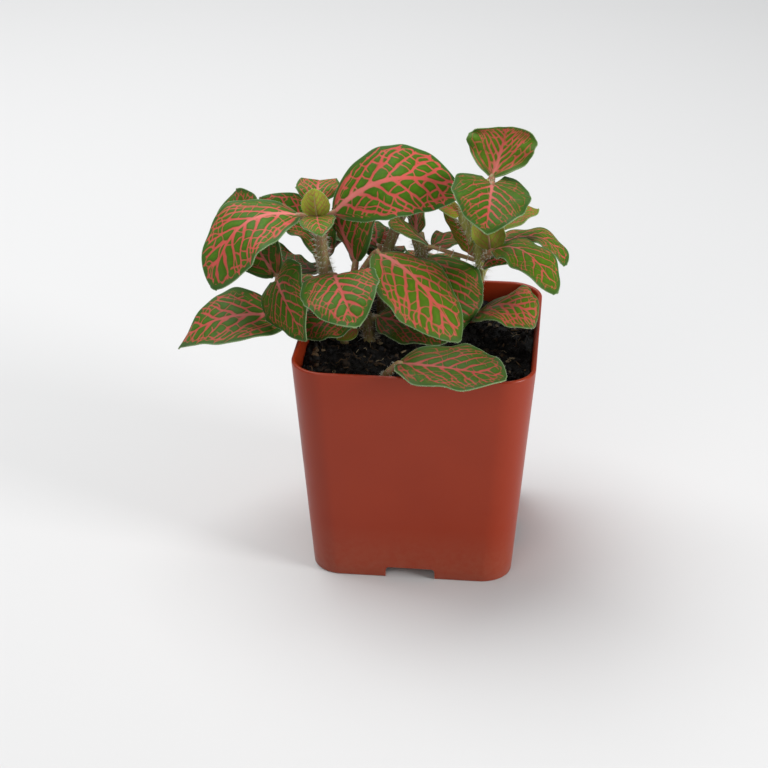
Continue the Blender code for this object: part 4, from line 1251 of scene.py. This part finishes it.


# %% [markdown]
# A fresh fittonia leaf is soft and satin: a film of clear wax over green cells, with
# coral veins that hold pink pigment and no green, palest where the midrib is thick.
# Light enters it, so it gets a little subsurface scattering. Its index of refraction is
# 1.42. The under face is paler and duller, with fainter veins. Young leaves turn to
# yellow and old ones to dark green, by the leaf's tone, and leaves that lie in shade are
# darkened the same way, which is painted shade.

# %% Veined leaf material
Look = namedtuple(
    "Look", "name green bright border young old vein rib vein_young vein_old gloss strength")
UPPER = Look(
    "leaf_upper_face", green="#3D6012", bright="#4B760E", border="#375A29", young="#7C8C1E",
    old="#2A3C08", vein="#C2524A", rib="#D8827A", vein_young="#A85A3A", vein_old="#782822",
    gloss=0.46, strength=1.0)
LOWER = Look(
    "leaf_under_face", green="#4C6026", bright="#586A22", border="#48592A", young="#9AA23A",
    old="#34421A", vein="#8A4A3C", rib="#A66A5A", vein_young="#A06E44", vein_old="#662E28",
    gloss=0.60, strength=0.8)
EDGE_HIGHLIGHT_COLOUR = "#8FA678"
MOTTLE_MM = 1.6
SKIN_CELL_MM = 0.16


def leaf_material(look):
    """One face of the leaf: veins over green, a plain border, a painted highlight along the edge, and a wax
    film.
    """
    material, tree = new_material(look.name)
    growth = Growth(*(add(tree, "Attribute", attribute_name=name).outputs["Fac"]
                      for name in Growth._fields))
    veins = vein_distance(tree, growth)
    place = add(tree, "NewGeometry").outputs["Position"]
    mottle = add(tree, "TexNoise", {"Vector": place, "Scale": 1 / (MOTTLE_MM * MM), "Detail": 5.0})

    # Green between the veins, brightest in the middle of a cell, and the plain border
    deep = add(tree, "MapRange", [veins, 0.0, 0.8, 0.0, 1.0])
    patchy = add(tree, "MapRange", [mottle, 0.3, 0.7, 0.2, 1.0])
    bright = add(tree, "Math", [deep, patchy], operation="MULTIPLY")
    green = add(tree, "MixRGB", [bright, linear(look.green), linear(look.bright)])
    border = add(tree, "MapRange", [growth.margin, 1.2, 0.4, 0.0, 0.85])
    green = add(tree, "MixRGB", [border, green, linear(look.border)])

    # Coral veins, palest near the foot of the midrib, and the colours of age, which also paint the shade of
    # shaded leaves, for both
    thick = add(tree, "MapRange", [growth.rib, 1.2, -0.3, 0.0, 1.0])
    paler = add(tree, "Math", [thick, growth.pale], operation="MULTIPLY")
    pink = add(tree, "MixRGB", [paler, linear(look.vein), linear(look.rib)])
    for end, leaf_colour, vein_colour in ((1.0, look.young, look.vein_young),
                                          (-1.0, look.old, look.vein_old)):
        age_and_shade_share = add(tree, "MapRange", [growth.tone, 0.0, end, 0.0, 1.0])
        green = add(tree, "MixRGB", [age_and_shade_share, green, linear(leaf_colour)])
        pink = add(tree, "MixRGB", [age_and_shade_share, pink, linear(vein_colour)])
    drawn = add(tree, "MapRange", [veins, 0.16, -0.15, 0.0, look.strength],
                interpolation_type="SMOOTHSTEP")
    colour = add(tree, "MixRGB", [drawn, green, pink])
    # A pale line along the margin is painted highlight, where light catches the thick edge of the blade.
    edge = add(tree, "MapRange", [growth.margin, 0.22, 0.02, 0.0, 0.55])
    colour = add(tree, "MixRGB", [edge, colour, linear(EDGE_HIGHLIGHT_COLOUR)])

    # Sunken veins, and the fine cells of the skin that break up the gloss
    cells = add(tree, "TexVoronoi", {"Vector": place, "Scale": 1 / (SKIN_CELL_MM * MM)})
    sunk = add(tree, "MapRange", [veins, -0.1, 0.35, 0.0, 1.0], interpolation_type="SMOOTHSTEP")
    relief = add(tree, "Bump", {"Height": sunk, "Strength": 0.35, "Distance": 0.12 * MM})
    skin = add(tree, "Bump", {
        "Height": cells, "Strength": 0.12, "Distance": 0.04 * MM, "Normal": relief})
    dull = add(tree, "MapRange", [mottle, 0.3, 0.7, look.gloss - 0.05, look.gloss + 0.08])
    waxy = add(tree, "BsdfPrincipled", {
        "Base Color": colour, "Roughness": dull, "Normal": skin, "IOR": 1.42,
        "Specular IOR Level": 0.12, "Subsurface Weight": 0.12, "Subsurface Scale": 0.6 * MM,
        "Subsurface Radius": (0.6, 1.0, 0.25), "Sheen Weight": 0.03})
    add(tree, "OutputMaterial", [waxy])
    print(look.name, "nodes", len(tree.nodes))
    return material


leaf_upper = leaf_material(UPPER)
leaf_under = leaf_material(LOWER)

# %% [markdown]
# Stems and stalks are juicy and four-furrowed, pinkish brown over green, streaked along
# their length. Fine white hairs stand all round them, and a fringe of shorter ones
# follows each leaf's edge. Each hair is a thin three-sided spike, closed at its foot.

# %% Stem and hair materials
STREAK_MM = 0.45
STREAK_STRETCH = (1.0, 1.0, 0.22)
stem_skin, tree = new_material("stem_skin")
place = add(tree, "NewGeometry").outputs["Position"]
tint = add(tree, "Attribute", attribute_name="tint").outputs["Fac"]
stretched = add(tree, "Mapping", {"Vector": place, "Scale": STREAK_STRETCH})
streaks = add(tree, "TexNoise", {"Vector": stretched, "Scale": 1 / (STREAK_MM * MM), "Detail": 4.0})
skin_colour = add(tree, "ValToRGB", [tint])
skin_colour.color_ramp.elements[0].color = linear("#A5A35A")
skin_colour.color_ramp.elements[1].color = linear("#B5625A")
skin_colour.color_ramp.elements.new(0.35).color = linear("#8E6A4E")
streak = add(tree, "MapRange", [streaks, 0.38, 0.62, 0.0, 0.75])
streaked = add(tree, "MixRGB", [streak, skin_colour, linear("#7E8448")])
bump = add(tree, "Bump", {"Height": streaks, "Strength": 0.3, "Distance": 0.1 * MM})
juicy = add(tree, "BsdfPrincipled", {
    "Base Color": streaked, "Normal": bump, "Roughness": 0.5, "Subsurface Weight": 0.15,
    "Subsurface Scale": 0.8 * MM})
add(tree, "OutputMaterial", [juicy])

HAIR_PATCH_MM = 3.0
hair, tree = new_material("plant_hair")
place = add(tree, "NewGeometry").outputs["Position"]
patches = add(tree, "TexNoise", {"Vector": place, "Scale": 1 / (HAIR_PATCH_MM * MM), "Detail": 1.0})
hair_colour = add(tree, "MixRGB", [patches, linear("#BCBFA8"), linear("#E2E0D2")])
downy = add(tree, "BsdfPrincipled", {"Base Color": hair_colour, "Roughness": 0.5})
add(tree, "OutputMaterial", [downy])
print("materials", [material.name for material in bpy.data.materials])

# %% [markdown]
# A real hair is a few hundredths of a millimetre thick, too fine to show when the whole
# pot is in the picture, so those of stems and stalks are drawn coarser. Blender's hair
# curves would look as good, but only a mesh keeps its shape in other programs.

# %% Spikes for hairs
SPIKE_ANGLES = np.arange(3) * 2 * math.pi / 3


def spikes(feet, ways, lengths, radius):
    """Three-sided hairs from their feet along their ways, as points and faces."""
    ways = unit(ways)
    aside = unit(np.cross(ways, np.array([0.37, 0.21, 0.91])))
    other = np.cross(ways, aside)
    tips = feet + ways * lengths[:, None]
    corners = [feet + radius * (math.cos(angle) * aside + math.sin(angle) * other)
               for angle in SPIKE_ANGLES]
    points = np.stack(corners + [tips], axis=1).reshape(-1, 3)
    start = 4 * np.arange(len(feet))[:, None]
    sides = [start + np.array(corner) for corner in ((0, 1, 3), (1, 2, 3), (2, 0, 3), (2, 1, 0))]
    return points, np.concatenate(sides)


print("faces of a hair", len(spikes(np.zeros((1, 3)), np.ones((1, 3)), np.ones(1), 0.05)[1]))

# %% [markdown]
# Blades are made leaf by leaf, and hairs one group at a time. Joined into one array of
# points and one of faces, they become a mesh in a single call.

# %% Join parts


def joined(parts):
    """Pairs of points and faces as one array of each."""
    starts = np.cumsum([0] + [len(points) for points, faces in parts])
    points = np.concatenate([points for points, faces in parts])
    faces = np.concatenate([faces + start for (points, faces), start in zip(parts, starts)])
    return points, faces


# %% [markdown]
# Each shoot becomes three objects, and the first is its leaves: all blades in one mesh,
# with one material on their upper faces and another underneath. The growth values are
# stored on the points as attributes, under the names by which the material reads them.

# %% Leaves of a shoot
PHASE = 1.7


def build_leaves(name, leaves, first):
    """All blades of a shoot in one object; returns how many faces, and the margins."""
    blades = [blade(leaf, first + index, PHASE * index) for index, leaf in enumerate(leaves)]
    points, faces = joined([(made.points, made.faces) for made in blades])
    thing = new_object(f"{name}_leaves", to_metres(points), faces.tolist(),
                       [leaf_upper, leaf_under], 60)
    down = np.concatenate([made.down for made in blades])
    thing.data.polygons.foreach_set("material_index", down.astype(np.int32))
    for label, layers in zip(Growth._fields, zip(*(made.growth for made in blades))):
        stored = thing.data.attributes.new(label, "FLOAT", "POINT")
        stored.data.foreach_set("value", np.concatenate(layers).astype(np.float32))
    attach(thing, "root")
    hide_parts(name)
    return len(faces), [made.margin for made in blades]


# %% [markdown]
# The second object is the stem with the stalks. The stem thickens at the nodes where
# stalks leave it. A stalk runs on under its blade as the keel of the midrib and fades
# out near the tip. For the next step the function lists where hairs can stand, and how
# many: a dense coat on the tall left stem, and a thin one on the others.

# %% Stem and stalks of a shoot
STEM_RADIUS = 1.5
STEM_FOOT = 44.0
STEM_SIDES = 20
STALK_SIDES = 10
STALK_RADIUS = 0.85
STALK_SHARE = 0.062
KEEL = np.array([0.05, 0.12, 0.25, 0.4, 0.55, 0.7, 0.82])
BARE_RINGS = 7
STEM_HAIRS_EACH_RING = 34
STALK_HAIRS_EACH_MM = 15
STALK_HAIR_POINTS = 48
STEM_HAIR_MM = 1.7
STALK_HAIR_MM = 0.7


def build_stems(name, stem, leaves):
    """The stem and its stalks in one object; returns places and ways for its hairs."""
    line = smooth_line([(stem[0][0], stem[0][1], STEM_FOOT), *stem], 8)
    nodes = np.array([leaf.node for leaf in leaves])
    away = np.linalg.norm(line[:, None, :] - nodes[None, :, :], axis=2).min(axis=1)
    slim = 0.6 if name == "shoot_front" else 1.0
    radii = STEM_RADIUS * slim * (0.92 + 0.18 * np.exp(-(away / 1.6) ** 2))
    corners, sides, ways = tube(line, radii, STEM_SIDES, groove=0.12)
    shapes, tints = [(corners, sides)], [0.0 if name == "shoot_right" else 0.35]
    count = STEM_HAIRS_EACH_RING * len(line) * (1.0 if name == "shoot_left" else 0.3)
    hairy = [(corners[:len(ways) - BARE_RINGS * STEM_SIDES], ways, STEM_HAIR_MM * slim, count)]
    for leaf in leaves:
        spine, ahead, up = midrib(leaf, KEEL)
        keel = spine - up * np.linspace(0.75, 0.3, len(KEEL))[:, None]
        path = smooth_line([leaf.node, leaf.base, *keel], 4)
        thick = min(STALK_RADIUS, STALK_SHARE * leaf.width)
        taper = np.interp(np.linspace(0, 1, len(path)), [0, 0.12, 0.25, 1], [1.1, 0.95, 0.7, 0.12])
        corners, sides, ways = tube(path, thick * taper, STALK_SIDES)
        shapes.append((corners, sides))
        tints.append(0.75 - 0.5 * abs(leaf.tone))
        count = STALK_HAIRS_EACH_MM * np.linalg.norm(np.subtract(leaf.node, leaf.base))
        hairy.append((corners[:STALK_HAIR_POINTS], ways[:STALK_HAIR_POINTS], STALK_HAIR_MM, count))
    write_copies(f"{name}_stems", shapes, tints, stem_skin)
    return hairy


# %% [markdown]
# The third object is the hairs. They stand out from the skin and droop a little, at
# places from the seeded draw, and none grows in the soil. The fringe of a leaf points
# outwards, away from the middle of its blade.

# %% Hairs of a shoot
HAIR_RADIUS = 0.05
HAIR_DROOP = np.array([0, 0, -0.15])
FRINGE_EACH_MM = 4
FRINGE_MM = (0.15, 0.32)
FRINGE_RADIUS = 0.02


def build_hairs(name, hairy, margins):
    """White hairs round stems and stalks, and a short fringe along every margin."""
    parts = []
    for corners, ways, length, count in hairy:
        picked = draw.integers(0, len(corners) - 11, int(count))
        share = draw.random((len(picked), 1))
        feet = corners[picked] * (1 - share) + corners[picked + 1] * share
        out = ways[picked] + draw.normal(0, 0.3, (len(picked), 3)) + HAIR_DROOP
        lengths = length * draw.uniform(0.5, 1.05, len(picked))
        clear = feet[:, 2] > SOIL_TOP + 1.0
        parts.append(spikes(feet[clear], out[clear], lengths[clear], HAIR_RADIUS))
    for margin, normal in margins:
        ahead = np.roll(margin, -1, axis=0) - margin
        size = np.linalg.norm(ahead, axis=1)
        count = int(size.sum() * FRINGE_EACH_MM)
        picked = draw.choice(len(margin), count, p=size / size.sum())
        feet = margin[picked] + ahead[picked] * draw.random((count, 1))
        out = np.cross(ahead[picked], normal[picked])
        outwards = ((feet - margin.mean(axis=0)) * out).sum(axis=1, keepdims=True)
        out = unit(out * np.sign(outwards)) + draw.normal(0, 0.35, (count, 3))
        parts.append(spikes(feet, out, draw.uniform(*FRINGE_MM, count), FRINGE_RADIUS))
    points, faces = joined(parts)
    thing = new_object(f"{name}_hairs", to_metres(points), faces.tolist(), [hair], 30)
    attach(thing, "root")
    return len(faces)


# %% [markdown]
# One loop builds the seven shoots from the table. The leaves are numbered through all
# of them, because the number of a leaf sets its net apart from that of any other.

# %% Build every shoot
first = 0
for name, (stem, leaves) in SHOOTS.items():
    leaf_faces, margins = build_leaves(name, leaves, first)
    hair_faces = build_hairs(name, build_stems(name, stem, leaves), margins)
    first += len(leaves)
    print(name, "leaf faces", leaf_faces, "hair faces", hair_faces)
